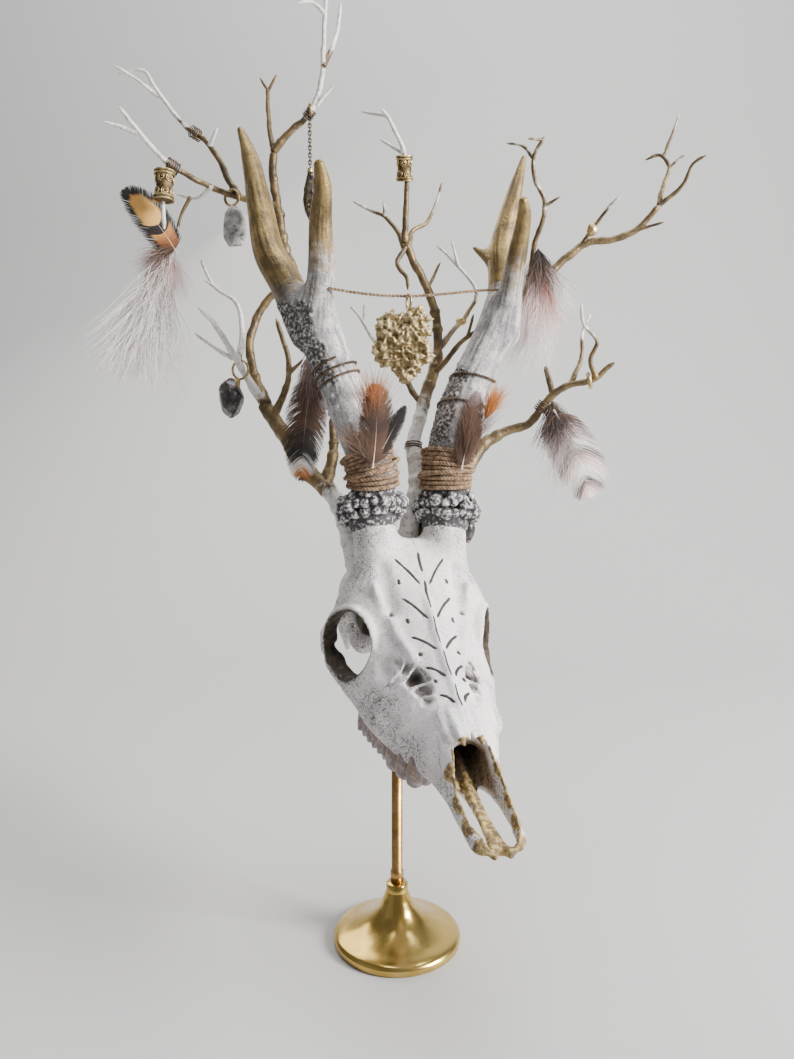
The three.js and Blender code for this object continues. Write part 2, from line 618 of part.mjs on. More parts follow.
function placeLeftBranches() {
  const elbow = [94, 43, 290];
  placeBranch('branch_left_low', TWIG, [
    limb([fromSkull(ROOTS.leftLow), [34, 42, 236], [47, 49, 257], [59, 51, 265], [73, 50, 270],
      [84, 46, 284], elbow, [106, 40, 293], [116, 36, 302]], 5, 1.6, 7),
    limb([[86, 45, 285], [82, 50, 301]], 2.2, 1.6),
  ]);
  placeBranch('branch_left_low_rear', TWIG, [
    limb([elbow, [101, 49, 304], [103, 54, 320], [108, 58, 331]], 1.9, 0.9),
  ]);
  placeBranch('branch_left_low_front', TWIG, [
    limb([[107, 39, 294], [103, 36, 303], [106, 33, 312], [98, 30, 321], [96, 28, 331]], 1.9, 0.9),
  ]);
  const fork = [146, 62, 391];
  placeBranch('branch_left_stem', TWIG, [
    limb([fromSkull(ROOTS.left), [20, 45, 235], [33, 54, 264], [50, 64, 298], [70, 69, 332],
      [90, 72, 358], [107, 71, 372], [122, 69, 374], [135, 66, 379], fork], 5, 1.8, 7),
    limb([[133, 66, 378], [148, 60, 381]], 1.4, 0.8),
  ]);
  placeBranch('branch_left_tip_upper', TWIG, [
    limb([fork, [149, 66, 402], [153, 70, 414], [149, 72, 421], [141, 74, 419]], 1.8, 0.9),
    limb([[150, 72, 420], [157, 76, 435], [161, 78, 447]], 1.3, 0.7),
    limb([[153, 70, 413], [161, 68, 420]], 1.2, 0.8),
  ]);
  placeBranch('branch_left_tip_lower', TWIG, [
    limb([fork, [156, 57, 399], [160, 52, 409], [166, 49, 413]], 1.7, 0.8),
  ]);
  placeBranch('branch_left_twig', TWIG, [
    limb([[105, 71, 371], [110, 67, 379], [118, 60, 390], [123, 56, 394]], 1.5, 0.9),
  ]);
  placeBranch('branch_left_inner', TWIG, [
    limb([[68, 69, 329], [75, 64, 353], [77, 60, 371], [81, 53, 388], [74, 48, 400], [73, 45, 410],
      [78, 42, 420]], 2.3, 1.1),
    limb([[73, 45, 409], [68, 48, 417], [59, 52, 420]], 1.2, 0.8),
    limb([[80, 53, 387], [88, 48, 391]], 1.2, 0.8),
    limb([[77, 42, 418], [69, 40, 418]], 1, 0.8),
  ]);
}

// String between the antlers

function placeString() {
  const radii = [STRING_RADIUS, STRING_RADIUS];
  place('string', tube(STRING_ROUTE.map(vec), radii, { sides: 8, steps: 1, pointed: 0 }), TWINE);
}

// Charms

// A short tube bead with a beaded lip at each end, threaded on a twig
function tubeBead(centre, axis, radius, height) {
  const lip = height / 6;
  const waist = radius - 0.6;
  const outline = [
    [0, 0], [radius, 0], [radius, lip], [waist, lip],
    [waist, height - lip], [radius, height - lip], [radius, height], [0, height],
  ];
  const up = axis.clone().normalize();
  return turned(outline, 7, centre.clone().addScaledVector(up, -height / 2), up);
}

function placeCharms() {
  const random = seeded(1203);
  place('bead_right', tubeBead(vec([-123, 40, 394]), vec([0.5, 0.5, 11]), 5.4, 16), GILT);
  place('bead_middle', tubeBead(vec([4, 52, 407]), vec([-0.5, -8, 24]), 4.6, 13), GILT);
  place('bead_small', ball(vec([37, 72, 329]), [3.4, 3, 2.8], [0, 0, 0], [7, 5]), GILT);
  place('bead_oval', ball(vec([110, 67, 379]), [3.4, 3.2, 4.4], [0, 0, 0], [7, 5]), GILT);
  place('bead_ring', ring(vec([104, 40, 292.5]), vec([12, -3, 3]), 3.6, 1.2, 5, 10), GILT);
  const burrThread = tube([vec([38, 33, 217]), vec([40, 32, 241])], [0.7, 0.7], { sides: 6, steps: 1 });
  place('bead_burr', ball(vec([38, 33, 212]), [4, 4, 7]).add(burrThread), DARK);

  // Grey crystal and dark stone, each under a small ring that hangs on its branch
  const crystalRing = ring(vec([-91, 58, 393.4]), vec([1, -0.3, 0]), 4.2, 0.7, 5, 10);
  const crystalCap = tube([vec([-91, 58, 389.4]), vec([-91, 58, 385])], [1.2, 2.2], { sides: 6, steps: 1 });
  const crystal = lump(vec([-90, 57, 377]), [6.6, 5, 11], random);
  place('crystal', joined([crystalRing, crystalCap, crystal]), CRYSTAL);
  const stoneRing = ring(vec([-86, 47.6, 299]), vec([0.4, -1, 0.2]), 5, 0.8, 5, 10);
  const stoneCap = tube([vec([-87, 47, 294.2]), vec([-89, 46, 290])], [1.2, 2.4], { sides: 6, steps: 1 });
  const stone = lump(vec([-91, 45, 283]), [6.8, 6, 10.5], random);
  place('dark_stone', joined([stoneRing, stoneCap, stone]), DARK);

  // Crusted gold pendant on the string: a leaf of rough lumps under a ring
  const leaf = [ball(vec([4, 18, 310]), [11, 3.2, 16])];
  for (let i = 0; i < PENDANT_LUMPS; i += 1) {
    const angle = (2 * Math.PI * i) / PENDANT_LUMPS;
    const reach = 0.8 + 0.25 * random();
    const [aside, up] = [11 * reach * Math.cos(angle), 16 * reach * Math.sin(angle)];
    const spot = vec([4 + aside, 18 + 3 * (random() - 0.5), 309 + up]);
    leaf.push(lump(spot, [6, 3.4, 6], random, 0));
  }
  const pendantRing = ring(vec([6, 19, 330.2]), vec([1, 0.25, 0]), 4.2, 0.7, 5, 10);
  const pendantPin = tube([vec([6, 19, 326.4]), vec([5, 18.5, 318])], [0.9, 1.6], { sides: 6, steps: 1 });
  place('pendant', joined([...leaf, pendantRing, pendantPin]), GILT);

  // Black drop on a fine chain, the links shown as swellings of one strand
  const links = [[0, -30]];
  for (let i = 0; i < 8; i += 1) {
    links.push([0.5, -30 + 3.85 * i], [1, -28 + 3.85 * i]);
  }
  links.push([0.5, 0.8], [0, 0.8]);
  const chain = turned(links, 5, vec([-48, 61, 440]));
  const dropOutline = [
    [0, -58], [1.6, -55], [3.6, -47], [4.7, -40], [4.4, -36.5], [2.4, -34], [1, -33], [1, -29], [0, -29],
  ];
  const drop = turned(dropOutline, 10, vec([-48, 61, 440]));
  const hook = ring(vec([-48, 61.5, 441.4]), vec([1, 0.2, 0.6]), 3.4, 0.7, 5, 10);
  place('drop_on_chain', joined([chain, drop, hook]), DARK);
}

// Feathers

// One thin vane along a curve, split alike on both faces. The profile gives its half width.
function vane(path, across, halfWidth, thickness, profile, columns = 2, stations = 6) {
  const curve = new THREE.CatmullRomCurve3(path);
  const rows = [];
  for (let i = 0; i <= stations; i += 1) {
    const share = i / stations;
    const along = curve.getTangent(share);
    const aside = across.clone().addScaledVector(along, -across.dot(along)).normalize();
    const face = along.clone().cross(aside);
    const half = Math.max(0.35, halfWidth * profile(share));
    const row = [];
    for (let c = 0; c <= columns; c += 1) {
      const spread = (2 * c) / columns - 1;
      const centre = curve.getPoint(share).addScaledVector(aside, half * spread);
      row.push(centre.addScaledVector(face, -0.18 * half * spread * spread), face);
    }
    rows.push(row);
  }
  const points = [];
  const width = columns + 1;
  for (const sideOfVane of [1, -1]) {
    for (const row of rows) {
      for (let c = 0; c < width; c += 1) {
        points.push(row[2 * c].clone().addScaledVector(row[2 * c + 1], (sideOfVane * thickness) / 2));
      }
    }
  }
  const under = rows.length * width;
  const index = [];
  const wall = (a, b) => index.push(a, b, b + under, a, b + under, a + under);
  for (let r = 0; r < stations; r += 1) {
    for (let c = 0; c < columns; c += 1) {
      const [a, b] = [r * width + c, r * width + c + 1];
      const [d, e] = [a + width, b + width];
      index.push(a, e, b, a, d, e, a + under, b + under, e + under, a + under, e + under, d + under);
    }
    wall((r + 1) * width, r * width);
    wall(r * width + columns, (r + 1) * width + columns);
  }
  for (let c = 0; c < columns; c += 1) {
    wall(c, c + 1);
    wall(stations * width + c + 1, stations * width + c);
  }
  return toSolid(closedSkin(points, index));
}

const leafShape = (share) => Math.sin(Math.PI * (0.12 + 0.84 * share)) ** 0.7;
const plumeShape = (share) => 0.25 + 0.75 * Math.sin(Math.PI * share ** 0.8);
const VANE_THICKNESS = 0.7;

// A feather: a quill, a vane out to its tip, and soft plumes that fan from the foot of the vane
function feather({ root, tip, across, width, sag = [0, 0, 0], plumes = [] }) {
  const [start, end, side] = [vec(root), vec(tip), vec(across)];
  const middle = start.clone().lerp(end, 0.5).add(vec(sag));
  const parts = [
    vane([start, middle, end], side, width, VANE_THICKNESS, leafShape),
  ];
  const along = end.clone().sub(start).normalize();
  const face = along.clone().cross(side).normalize();
  plumes.forEach(({ angle, length, half, from = 0.02 }, i) => {
    const aim = along.clone().applyAxisAngle(face, radians(angle));
    const layer = (i % 2 === 0 ? 1 : -1) * (2 + i);
    const foot = start.clone().lerp(end, from).addScaledVector(aim, -1);
    const bend = foot.clone().addScaledVector(aim, length / 2).addScaledVector(face, layer);
    const droop = foot.clone().addScaledVector(aim, length).addScaledVector(face, 1.6 * layer);
    droop.z -= length / 9;
    const plumeSide = side.clone().applyAxisAngle(face, radians(angle));
    parts.push(vane([foot, bend, droop], plumeSide, half, VANE_THICKNESS, plumeShape, 1, 4));
  });
  return joined(parts);
}

function placeFeathers() {
  place('feather_right_high', feather({
    root: [-119, 53, 361], tip: [-147, 49, 386], across: [0.66, 0, 0.75], width: 7, sag: [2, -1, 3],
    plumes: [
      { angle: -80, length: 66, half: 14 },
      { angle: -106, length: 70, half: 13 },
      { angle: -42, length: 30, half: 8 },
    ],
  }), PLUME);
  place('feather_right_low', feather({
    root: [-46, 37, 303], tip: [-51, 40, 238], across: [1, 0.3, 0], width: 10, sag: [1, 3, 0],
  }), BROWN_PLUME);
  place('feather_right_binding', feather({
    root: [-12, -3.4, 246], tip: [-12, -10, 294], across: [1, 0, 0], width: 7, sag: [0, -3, 0],
    plumes: [
      { angle: 21, length: 40, half: 5 },
      { angle: -22, length: 40, half: 5 },
    ],
  }), BROWN_PLUME);
  place('feather_left_binding', feather({
    root: [33, 12, 245], tip: [42, 8, 287], across: [1, 0.3, -0.2], width: 6, sag: [0, -2, 0],
    plumes: [
      { angle: 13, length: 38, half: 4.5 },
      { angle: -22, length: 34, half: 4.5 },
    ],
  }), BROWN_PLUME);
  place('feather_left_high', feather({
    root: [78, 56, 363], tip: [80, 52, 304], across: [1, 0.2, 0], width: 12, sag: [-2, 3, 0],
    plumes: [
      { angle: 26, length: 44, half: 8 },
      { angle: -26, length: 46, half: 8 },
    ],
  }), PLUME);
  place('feather_left_low', feather({
    root: [84, 44, 279], tip: [105, 42, 227], across: [0.93, 0.1, 0.37], width: 13, sag: [-2, 2, 0],
    plumes: [
      { angle: 24, length: 36, half: 6 },
      { angle: -36, length: 38, half: 8 },
    ],
  }), PLUME);
}

placeSkull();
placeStand();
placeAntler('right', 1, RIGHT_ANTLER);
placeAntler('left', -1, LEFT_ANTLER);
placeRightBranches();
placeTallBranch();
placeMiddleBranches();
placeLeftBranches();
placeString();
placeCharms();
placeFeathers();

export default model;
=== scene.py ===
import math
from collections import namedtuple

import bpy
import numpy as np
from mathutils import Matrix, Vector
from mathutils.bvhtree import BVHTree


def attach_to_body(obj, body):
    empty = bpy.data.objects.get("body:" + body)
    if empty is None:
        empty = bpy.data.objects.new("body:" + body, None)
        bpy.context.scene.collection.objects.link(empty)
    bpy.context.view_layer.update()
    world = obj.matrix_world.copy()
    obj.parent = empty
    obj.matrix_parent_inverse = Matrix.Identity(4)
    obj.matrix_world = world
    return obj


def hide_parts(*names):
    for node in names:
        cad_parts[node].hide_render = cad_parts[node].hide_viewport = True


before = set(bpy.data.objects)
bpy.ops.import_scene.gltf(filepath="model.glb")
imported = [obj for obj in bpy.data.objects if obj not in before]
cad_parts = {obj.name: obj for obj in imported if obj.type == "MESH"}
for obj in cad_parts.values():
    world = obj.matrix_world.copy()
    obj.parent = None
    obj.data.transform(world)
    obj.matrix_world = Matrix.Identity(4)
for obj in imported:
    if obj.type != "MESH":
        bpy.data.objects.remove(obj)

bl_info = {
    "name": "Dressed roe deer skull",
    "version": (1, 0, 0),
    "blender": (4, 5, 0),
    "location": "View3D > Sidebar > Skull",
    "description": "Bone, antlers, branches, feathers and charms over the packed frame",
    "category": "Object",
}

MM = 0.001
FULL_TURN = 2 * math.pi
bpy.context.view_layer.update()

# Camera of the photograph: its place and pitch, and its focal length in pixels of a 794 x 1059 picture
CAMERA_PLACE = (0.0, -0.398, 0.253)
CAMERA_PITCH = 5.4
FOCAL_PIXELS = 800.0
PICTURE_HEIGHT = 1059.0
SENSOR = 36.0

# Pose of the skull: its own origin lies below the front end of the nose, on the chewing plane
SKULL_PLACE = np.array([40.5, -109.5, 90.0])
NOSE_DOWN = 12.0
HEAD_TURN = 16.2
HEAD_ROLL = 2.3

# Skull in its own axes, in millimetres: x to the animal's right, back from the nose, up from the
# chewing plane. A section is [back, top, lowest, half width, widest height, roof, floor].
SKULL_SECTIONS = [
    [4, 14.5, 9.5, 7, 11.5, 2, 2],
    [7, 17, 8, 10.5, 12, 2, 2.2],
    [14, 20.5, 8, 11.8, 13, 2, 2.6],
    [25, 25, 9, 12.5, 15, 2, 3],
    [36, 30, 10, 13.3, 17, 2, 3],
    [46, 35.5, 10.5, 15, 18, 1.9, 3.2],
    [57, 40.5, 10.5, 19, 20, 1.75, 3.6],
    [72, 46.5, 10, 25, 21, 1.6, 4],
    [88, 53, 9.5, 30.5, 22, 1.55, 4.2],
    [100, 58.5, 9.5, 33.5, 24, 1.6, 4],
    [110, 64.5, 11.5, 36, 28, 1.7, 3.2],
    [118, 70, 16, 39, 34, 1.85, 2.6],
    [126, 76, 21, 41.5, 39, 2, 2.2],
    [136, 83, 24, 42.5, 43, 2.1, 2],
    [145, 87.5, 25, 40.5, 46, 2.15, 2],
    [151, 89, 25, 36, 48, 2.2, 2],
    [158, 88, 25, 31, 50, 2.3, 2.1],
    [168, 83.5, 24, 29.5, 51, 2.2, 2.1],
    [180, 75, 23, 29, 49, 2.1, 2.1],
    [190, 67, 25, 27.5, 46, 2.1, 2.2],
    [198, 60, 31, 24, 44, 2.1, 2.2],
]
NASAL_CAVITY = [
    [-1, 40, 12, 5, 24, 2, 3],
    [7, 40, 11.5, 7.6, 24, 2, 3],
    [14, 40, 11.5, 10, 24, 2, 3],
    [25, 46, 12.5, 10.7, 26, 2, 3],
    [36, 50, 13, 9.8, 28, 2, 3],
    [44, 54, 13.5, 8, 30, 2, 3],
    [49, 34, 15, 7.6, 25, 2, 3],
    [62, 38, 17, 8, 27, 2, 3],
    [80, 41, 24, 6, 32, 2, 2],
]
ORBIT = (32.0, 126.0, 43.0)
ORBIT_FACES_FORWARD = math.radians(28)
ORBIT_FACING = (math.cos(ORBIT_FACES_FORWARD), -math.sin(ORBIT_FACES_FORWARD), 0.12)
ORBIT_EDGE = (34, 126, 43)
ORBIT_RIM = 18.0
PEDICLE_ROOT = (17.0, 148.0, 76.0)
PEDICLE_TOP = (20.0, 159.0, 97.5)
PEDICLE_RADIUS = 10.8
TOOTH_LENGTHS = (8, 8.5, 9, 11, 11.5, 11)
TOOTH_ROW_FRONT = 57.0
TOOTH_ROW_BEND = (61, 53)
TOOTH_ROW_ASIDE = 15
TOOTH_ROW_WIDENING = 10.5

# Antlers in the model's own axes, in millimetres, from the burr upwards, with the radius at each point
BURR_RADIUS = 13.6
ANTLERS = {
    "right": {
        "side": 1,
        "beam": [[-13, 12, 246], [-22, 15, 270], [-30, 18, 291], [-37, 20, 309], [-44, 21, 328]],
        "beam_radii": [11.4, 11.2, 10.8, 10.6, 11, 10.4],
        "front": [[-42, 19, 316], [-38, 13, 343], [-37, 2, 365], [-35, -8, 379], [-36, -14, 386]],
        "front_radii": [8.4, 6.9, 5.6, 4.2, 2.6],
        "rear": [[-46, 22, 316], [-57, 27, 340], [-67, 34, 358], [-73, 43, 384], [-79, 50, 411],
                 [-85, 55, 428]],
        "rear_radii": [9.4, 8.8, 8.3, 7, 4.8, 2],
        "spike": [],
        "bark_span": (278, 338),
        "bark_side": (-0.9, -0.42, 0.05),
    },
    "left": {
        "side": -1,
        "beam": [[26, 26, 243], [32, 30, 272], [41, 34, 294], [50, 37, 314], [56, 39, 330]],
        "beam_radii": [11.4, 11.2, 11.4, 10.6, 10, 9.4],
        "front": [[57, 37, 318], [60, 31, 341], [62, 21, 358], [63, 11, 372], [62, 7, 376]],
        "front_radii": [7.8, 5.9, 4.9, 3.4, 2.4],
        "rear": [[56, 41, 318], [57, 47, 345], [57, 53, 363], [61, 58, 382], [66, 63, 400], [71, 68, 418]],
        "rear_radii": [8.6, 7.6, 6.9, 5.4, 4, 1.6],
        "spike": [[57, 52, 358], [49, 56, 362], [43, 60, 367]],
        "bark_span": (244, 306),
        "bark_side": (-0.95, -0.3, 0.05),
    },
}


def rotation(axis, degrees):
    """A turn about one axis, as a matrix."""
    c, s = math.cos(math.radians(degrees)), math.sin(math.radians(degrees))
    a, b = [(1, 2), (2, 0), (0, 1)][axis]
    turn = np.eye(3)
    turn[a, a] = turn[b, b] = c
    turn[a, b], turn[b, a] = -s, s
    return turn


SKULL_TURN = rotation(2, 180 + HEAD_TURN) @ rotation(0, -NOSE_DOWN) @ rotation(1, -HEAD_ROLL)


def from_skull(points):
    """Points given as x, back, up in the skull's axes, moved into the model's axes."""
    local = np.array(points, float) * (1, -1, 1)
    return local @ SKULL_TURN.T + SKULL_PLACE


def unit(vector):
    """A vector, or each row of a table of them, at length 1."""
    vector = np.asarray(vector, float)
    return vector / np.maximum(np.linalg.norm(vector, axis=-1, keepdims=True), 1e-9)


# Numbers that repeat from run to run

def lattice(cells, seed):
    """A fixed number from 0 to 1 for each whole-number cell."""
    mixed = cells[..., 0] * 73856093 ^ cells[..., 1] * 19349663 ^ cells[..., 2] * 83492791 ^ seed * 2654435761
    mixed = mixed.astype(np.uint64) & 0xFFFFFFFF
    mixed = ((mixed ^ (mixed >> 15)) * 2246822519) & 0xFFFFFFFF
    mixed = ((mixed ^ (mixed >> 13)) * 3266489917) & 0xFFFFFFFF
    return (mixed ^ (mixed >> 16)).astype(float) / 0xFFFFFFFF


def grain(points, size, seed, octaves=1):
    """Smooth noise from 0 to 1 at each point, with features of about the given size."""
    total, weight = 0.0, 0.0
    for octave in range(octaves):
        scaled = np.asarray(points, float) / size * 2 ** octave
        cell = np.floor(scaled).astype(np.int64)
        part = scaled - cell
        part = part * part * (3 - 2 * part)
        value = 0.0
        for corner in np.ndindex(2, 2, 2):
            share = np.prod(np.where(corner, part, 1 - part), axis=-1)
            value = value + share * lattice(cell + np.array(corner), seed + octave)
        total = total + value * 0.5 ** octave
        weight += 0.5 ** octave
    return total / weight


def ramp(values, low, high):
    """From 0 at low to 1 at high, with soft ends."""
    share = np.clip((np.asarray(values, float) - low) / (high - low), 0, 1)
    return share * share * (3 - 2 * share)


# Curves

def smooth_curve(at, knots, values):
    """A smooth line through values at rising knots."""
    knots, values = np.asarray(knots, float), np.asarray(values, float)
    slope = np.gradient(values, knots)
    at = np.clip(at, knots[0], knots[-1])
    place = np.clip(np.searchsorted(knots, at) - 1, 0, len(knots) - 2)
    width = knots[place + 1] - knots[place]
    t = (at - knots[place]) / width
    start = values[place] * (1 + 2 * t) * (1 - t) ** 2 + slope[place] * width * t * (1 - t) ** 2
    end = values[place + 1] * t * t * (3 - 2 * t) + slope[place + 1] * width * t * t * (t - 1)
    return start + end


def run_along(path):
    """How far along a path each of its points lies."""
    return np.concatenate([[0], np.cumsum(np.linalg.norm(np.diff(path, axis=0), axis=1))])


def rows_at(at, knots, rows):
    """Rows of three numbers, read between the knots."""
    return np.stack([np.interp(at, knots, rows[:, k]) for k in range(3)], axis=-1)


def smooth_path(points, spacing):
    """Evenly spaced points on a smooth curve through a few points, and each one's share of the way."""
    points = np.asarray(points, float)
    chord = np.linalg.norm(np.diff(points, axis=0), axis=1) ** 0.5
    knots = np.concatenate([[0], np.cumsum(chord)])
    fine = np.linspace(0, knots[-1], 40 * len(points))
    line = np.stack([smooth_curve(fine, knots, points[:, k]) for k in range(3)], axis=1)
    run = run_along(line)
    even = np.linspace(0, run[-1], max(int(run[-1] / spacing), 2) + 1)
    path = rows_at(even, run, line)
    share = np.interp(np.interp(even, run, fine), knots, np.linspace(0, 1, len(points)))
    return path, share


def along_and_across(path):
    """Direction of travel, and two steady directions across it, at each point of a path."""
    along = unit(np.gradient(path, axis=0))
    across = np.zeros_like(path)
    last = np.array([0.31, 0.87, 0.19])
    for i, direction in enumerate(along):
        last = unit(last - direction * (last @ direction))
        across[i] = last
    return along, across, np.cross(along, across)


# Solid forms as distances on a grid, in millimetres

Form = namedtuple("Form", "distance low high")
FAR = 30.0


def soft_min(a, b, blend):
    """The lesser of two distances, with a rounded seam where they meet."""
    if blend <= 0:
        return np.minimum(a, b)
    overlap = np.maximum(blend - np.abs(a - b), 0) / blend
    return np.minimum(a, b) - overlap * overlap * blend / 4


def ball(centre, radii, yaw=0.0, pitch=0.0):
    """An ellipsoid. Yaw turns its first axis forward, and pitch tips its second axis up."""
    c, s = math.cos(yaw), math.sin(yaw)
    cp, sp = math.cos(pitch), math.sin(pitch)
    axes = np.array([[c, -s, 0], [s * cp, c * cp, sp], [-s * sp, -c * sp, cp]])
    centre, radii = np.array(centre, float), np.array(radii, float)

    def distance(x, y, z):
        near = far = 0
        for axis, radius in zip(axes, radii):
            part = (x - centre[0]) * axis[0] + (y - centre[1]) * axis[1] + (z - centre[2]) * axis[2]
            near = near + (part / radius) ** 2
            far = far + (part / radius ** 2) ** 2
        near, far = np.sqrt(near), np.sqrt(far)
        return near * (near - 1) / np.maximum(far, 1e-6)

    reach = radii.max()
    return Form(distance, centre - reach, centre + reach)


def hoop(centre, axis, radius, thickness, depth):
    """A ring whose wall is deeper along its axis than it is thick."""
    centre, axis = np.array(centre, float), unit(axis)

    def distance(x, y, z):
        dx, dy, dz = x - centre[0], y - centre[1], z - centre[2]
        height = dx * axis[0] + dy * axis[1] + dz * axis[2]
        around = np.sqrt(np.maximum(dx * dx + dy * dy + dz * dz - height * height, 0))
        return np.sqrt((around - radius) ** 2 + (height * thickness / depth) ** 2) - thickness

    reach = radius + max(thickness, depth)
    return Form(distance, centre - reach, centre + reach)


def strand(points, radii):
    """A chain of tapered round rods."""
    points, radii = np.array(points, float), np.array(radii, float)

    def distance(x, y, z):
        best = None
        for a, b, ra, rb in zip(points[:-1], points[1:], radii[:-1], radii[1:]):
            step = b - a
            t = ((x - a[0]) * step[0] + (y - a[1]) * step[1] + (z - a[2]) * step[2]) / (step @ step)
            t = np.clip(t, 0, 1)
            gap = sum((v - p - t * s) ** 2 for v, p, s in zip((x, y, z), a, step))
            rod = np.sqrt(gap) - (ra + t * (rb - ra))
            best = rod if best is None else np.minimum(best, rod)
        return best

    reach = radii.max()
    return Form(distance, points.min(axis=0) - reach, points.max(axis=0) + reach)


def loft(sections):
    """A body through upright sections, each a rounded outline set by its heights and width."""
    table = np.array(sections, float)

    def distance(x, back, up):
        top, low, half, widest, roof, floor = (
            smooth_curve(back, table[:, 0], table[:, k]) for k in range(1, 7))
        above = up >= widest
        reach = np.where(above, top - widest, widest - low)
        power = np.where(above, roof, floor)
        aside, height = np.abs(x) / half + 1e-6, np.abs(up - widest) / reach + 1e-6
        size = np.maximum((aside ** power + height ** power) ** (1 / power), 0.05)
        slope = np.hypot(aside ** (power - 1) / half, height ** (power - 1) / reach) * size ** (1 - power)
        gap = np.clip((size - 1) / np.maximum(slope, 1e-4), -FAR, FAR)
        ends = np.maximum(table[0, 0] - back, back - table[-1, 0])
        return -soft_min(-gap, -ends, 3.0)

    half = table[:, 3].max()
    low = np.array([-half, table[0, 0], table[:, 2].min()])
    return Form(distance, low, np.array([half, table[-1, 0], table[:, 1].max()]))


class Clay:
    """A grid of distances that forms are added to and carved from."""

    def __init__(self, low, high, step):
        self.low, self.step = np.array(low, float), step
        count = np.ceil((np.array(high) - self.low) / step).astype(int) + 1
        self.field = np.full(count, FAR, np.float32)

    def near(self, form, margin):
        """The part of the grid round a form, and the places of its points."""
        low = np.floor((form.low - margin - self.low) / self.step).astype(int)
        high = np.ceil((form.high + margin - self.low) / self.step).astype(int) + 1
        low, high = np.clip(low, 0, None), np.minimum(high, self.field.shape)
        axes = [self.low[k] + self.step * np.arange(low[k], high[k], dtype=np.float32) for k in range(3)]
        cut = tuple(slice(a, b) for a, b in zip(low, high))
        return cut, np.meshgrid(*axes, indexing="ij", sparse=True)

    def add(self, form, blend=0.0):
        """Put a form on, with a fillet as wide as the blend."""
        cut, spots = self.near(form, blend + 3 * self.step)
        self.field[cut] = soft_min(self.field[cut], form.distance(*spots), blend)

    def carve(self, form, blend=0.0):
        """Take a form away, with a rounded edge as wide as the blend."""
        cut, spots = self.near(form, blend + 3 * self.step)
        self.field[cut] = -soft_min(-self.field[cut], form.distance(*spots), blend)

    def mirrored(self):
        """The same grid with its other half, where the first layer lies on the middle plane."""
        whole = Clay((0, 0, 0), (0, 0, 0), self.step)
        whole.field = np.concatenate([self.field[:0:-1], self.field])
        whole.low = self.low - (self.step * (self.field.shape[0] - 1), 0, 0)
        return whole

    def skin(self):
        """Points and four-sided faces over the surface of the clay."""
        field, axes = self.field, np.eye(3, dtype=int)
        inside = field < 0
        corners = [tuple(slice(c, n - 1 + c) for c, n in zip(corner, field.shape))
                   for corner in np.ndindex(2, 2, 2)]
        count = sum(inside[c].astype(np.int8) for c in corners)
        mixed = (count > 0) & (count < 8)
        cells = np.argwhere(mixed)
        number = np.full(mixed.shape, -1)
        number[mixed] = np.arange(len(cells))
        total, hits = np.zeros((len(cells), 3)), np.zeros(len(cells))
        for axis in range(3):
            step = axes[axis]
            for corner in np.ndindex(2, 2, 2):
                if corner[axis]:
                    continue
                a = field[tuple((cells + corner).T)]
                b = field[tuple((cells + corner + step).T)]
                crosses = (a < 0) != (b < 0)
                share = np.where(crosses, a / np.where(crosses, a - b, 1), 0)
                total += crosses[:, None] * (np.array(corner) + share[:, None] * step)
                hits += crosses
        points = (cells + total / hits[:, None]) * self.step + self.low
        faces = []
        for axis in range(3):
            one, two = (axis + 1) % 3, (axis + 2) % 3
            ahead = np.roll(inside, -1, axis)
            edges = np.argwhere((inside != ahead)[tuple(
                slice(0, -1) if k == axis else slice(1, -1) for k in range(3))])
            edges[:, [one, two]] += 1
            b, c = axes[one], axes[two]
            quad = np.stack([number[tuple((edges - shift).T)] for shift in (b + c, c, 0 * b, b)], axis=1)
            flip = ~inside[tuple(edges.T)]
            quad[flip] = quad[flip][:, ::-1]
            faces.append(quad)
        return points, np.concatenate(faces)


# Meshes

def new_mesh(name, points, faces, smooth=True):
    """A mesh in metres from points in millimetres and faces of one size, or a list of such blocks."""
    blocks = faces if isinstance(faces, list) else [faces]
    mesh = bpy.data.meshes.new(name)
    mesh.vertices.add(len(points))
    mesh.vertices.foreach_set("co", (np.asarray(points, float) * MM).ravel())
    sizes = np.concatenate([np.full(len(block), block.shape[1]) for block in blocks])
    corners = np.concatenate([block.ravel() for block in blocks])
    mesh.loops.add(len(corners))
    mesh.loops.foreach_set("vertex_index", corners.astype(np.int32))
    mesh.polygons.add(len(sizes))
    mesh.polygons.foreach_set("loop_start", np.concatenate([[0], np.cumsum(sizes)[:-1]]).astype(np.int32))
    mesh.polygons.foreach_set("use_smooth", np.full(len(sizes), smooth))
    mesh.update(calc_edges=True)
    mesh.validate()
    return mesh


def attach(mesh, **named):
    """Store numbers, or colours, for each point of a mesh."""
    for name, values in named.items():
        values = np.asarray(values, np.float32)
        if values.ndim == 1:
            mesh.attributes.new(name, "FLOAT", "POINT").data.foreach_set("value", values)
        else:
            full = np.concatenate([values, np.ones((len(values), 1), np.float32)], axis=1)
            mesh.attributes.new(name, "FLOAT_COLOR", "POINT").data.foreach_set("color", full.ravel())


def piece(name, mesh, material, slot, *nodes):
    """An object for a mesh, riding on the model, that stands for the named nodes."""
    thing = bpy.data.objects.new(name, mesh)
    bpy.context.scene.collection.objects.link(thing)
    if material:
        mesh.materials.clear()
        mesh.materials.append(material)
    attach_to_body(thing, "root")
    if nodes:
        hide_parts(*nodes)
    return thing


def solid(name, shape, material, slot, *nodes, smooth=True):
    """A piece from points and faces."""
    piece(name, new_mesh(name, *shape, smooth=smooth), material, slot, *nodes)


